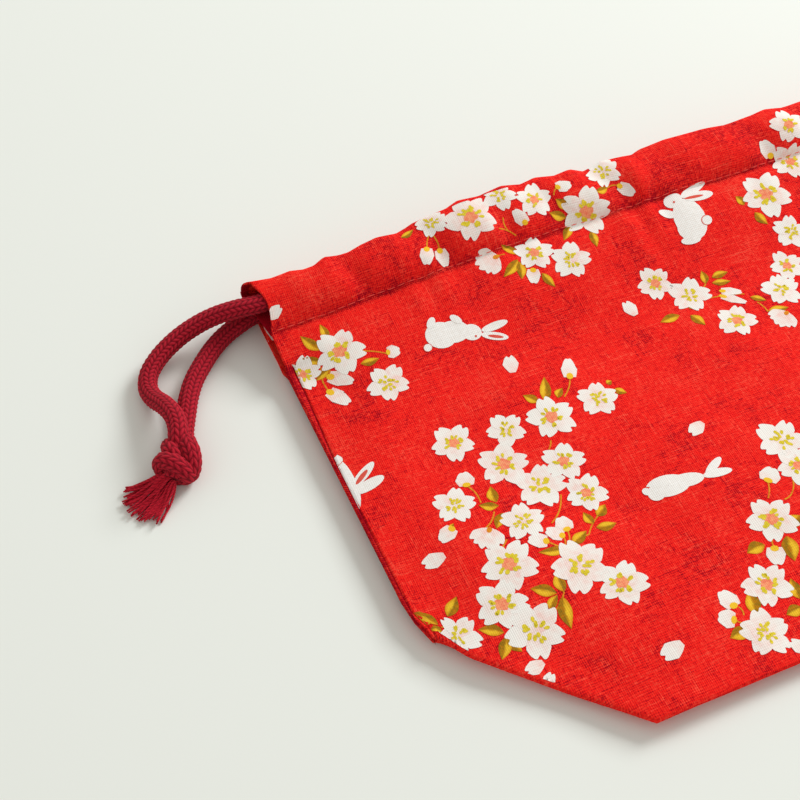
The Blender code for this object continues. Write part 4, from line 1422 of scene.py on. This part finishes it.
thread = {"step": 3.7, "length": 2.8, "across": 0.34, "above": 1.0, "rings": 6, "sides": 5}
threadFinish, w, shader = newFinish("pinkishThread", rough=0.7)
u, v = w.laid()
dress(threadFinish, shader, w.blend(shade(236, 66, 56), shade(246, 98, 84), w.noise(w.vector(u, v), 1.5)))


def makeStitches():
    # each dash: x(t) along the row, lifted by sin(pi t), with a half-round section
    rings, sides = thread["rings"], thread["sides"]
    starts = np.arange(-halfWidth + 1.5, halfWidth - 3, thread["step"])[:, None, None]
    t = np.linspace(0, 1, rings)[None, :, None]
    a = np.linspace(0, np.pi, sides)[None, None, :]
    half = thread["across"] / 2 * (0.35 + 0.65 * np.sin(np.pi * t) ** 0.4)
    row = pouch["height"] - pouch["casing"] + thread["above"]
    x = starts + t * thread["length"] + 0 * a
    v = row + 0.25 * np.sin(starts / 9) + half * np.cos(a)
    lift = half * np.sin(a) * 0.9 - 0.04 + 0.10 * np.sin(np.pi * t) + 0 * x
    first = (np.arange(len(x)) * rings * sides)[:, None, None]
    faces = (gridFaces(rings, sides)[None] + first).reshape(-1, 4)
    points = onCloth(x, v, lift).reshape(-1, 3)
    uv = np.stack([x.ravel(), v.ravel()], 1)
    piece = makePiece("casingStitches", points, faces, threadFinish, "pouch", uv=uv)
    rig.slot(piece, "red_slub_cotton")


makeStitches()
print("stitches sewn")


# Table and light

stageLook = {
    "floor": shade(236, 239, 231), "floorHalf": 4,
    "world": 0.585, "worldColour": (1.0, 0.975, 0.945, 1),
    "key": 43.0, "keyColour": (0.975, 1.0, 1.03), "keySize": 0.85, "keyPlace": (1.70, 0.75, 1.15),
}
floorFinish, w, shader = newFinish("paleTable", rough=0.9, specular=0.1)
dress(floorFinish, shader, w.blend(stageLook["floor"], stageLook["floor"], 0.5))
floorMesh = bpy.data.meshes.new("table")
half = stageLook["floorHalf"]
corners = [(-half, -half, 0), (half, -half, 0), (half, half, 0), (-half, half, 0)]
floorMesh.from_pydata(corners, [], [(0, 1, 2, 3)])
floorMesh.materials.append(floorFinish)
floor = bpy.data.objects.new("table", floorMesh)
bpy.context.scene.collection.objects.link(floor)
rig.stage(floor)


# one soft lamp like a window, aimed at the middle of the table
lamp = bpy.data.lights.new("window", "AREA")
lamp.size = stageLook["keySize"]
lamp.energy = stageLook["key"]
lamp.color = stageLook["keyColour"]
window = bpy.data.objects.new("window", lamp)
window.location = Vector(stageLook["keyPlace"])
window.rotation_euler = (-window.location).to_track_quat("-Z", "Y").to_euler()
bpy.context.scene.collection.objects.link(window)
world = bpy.data.worlds.new("roomLight")
world.use_nodes = True
world.node_tree.nodes["Background"].inputs["Color"].default_value = stageLook["worldColour"]
world.node_tree.nodes["Background"].inputs["Strength"].default_value = stageLook["world"]
bpy.context.scene.world = world
bpy.context.scene.view_settings.view_transform = "Standard"
print("table and light set")

with open("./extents.json", "w") as report:
    json.dump({"cad": cadBox, "visual": [list(corner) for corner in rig.bounds()]}, report)
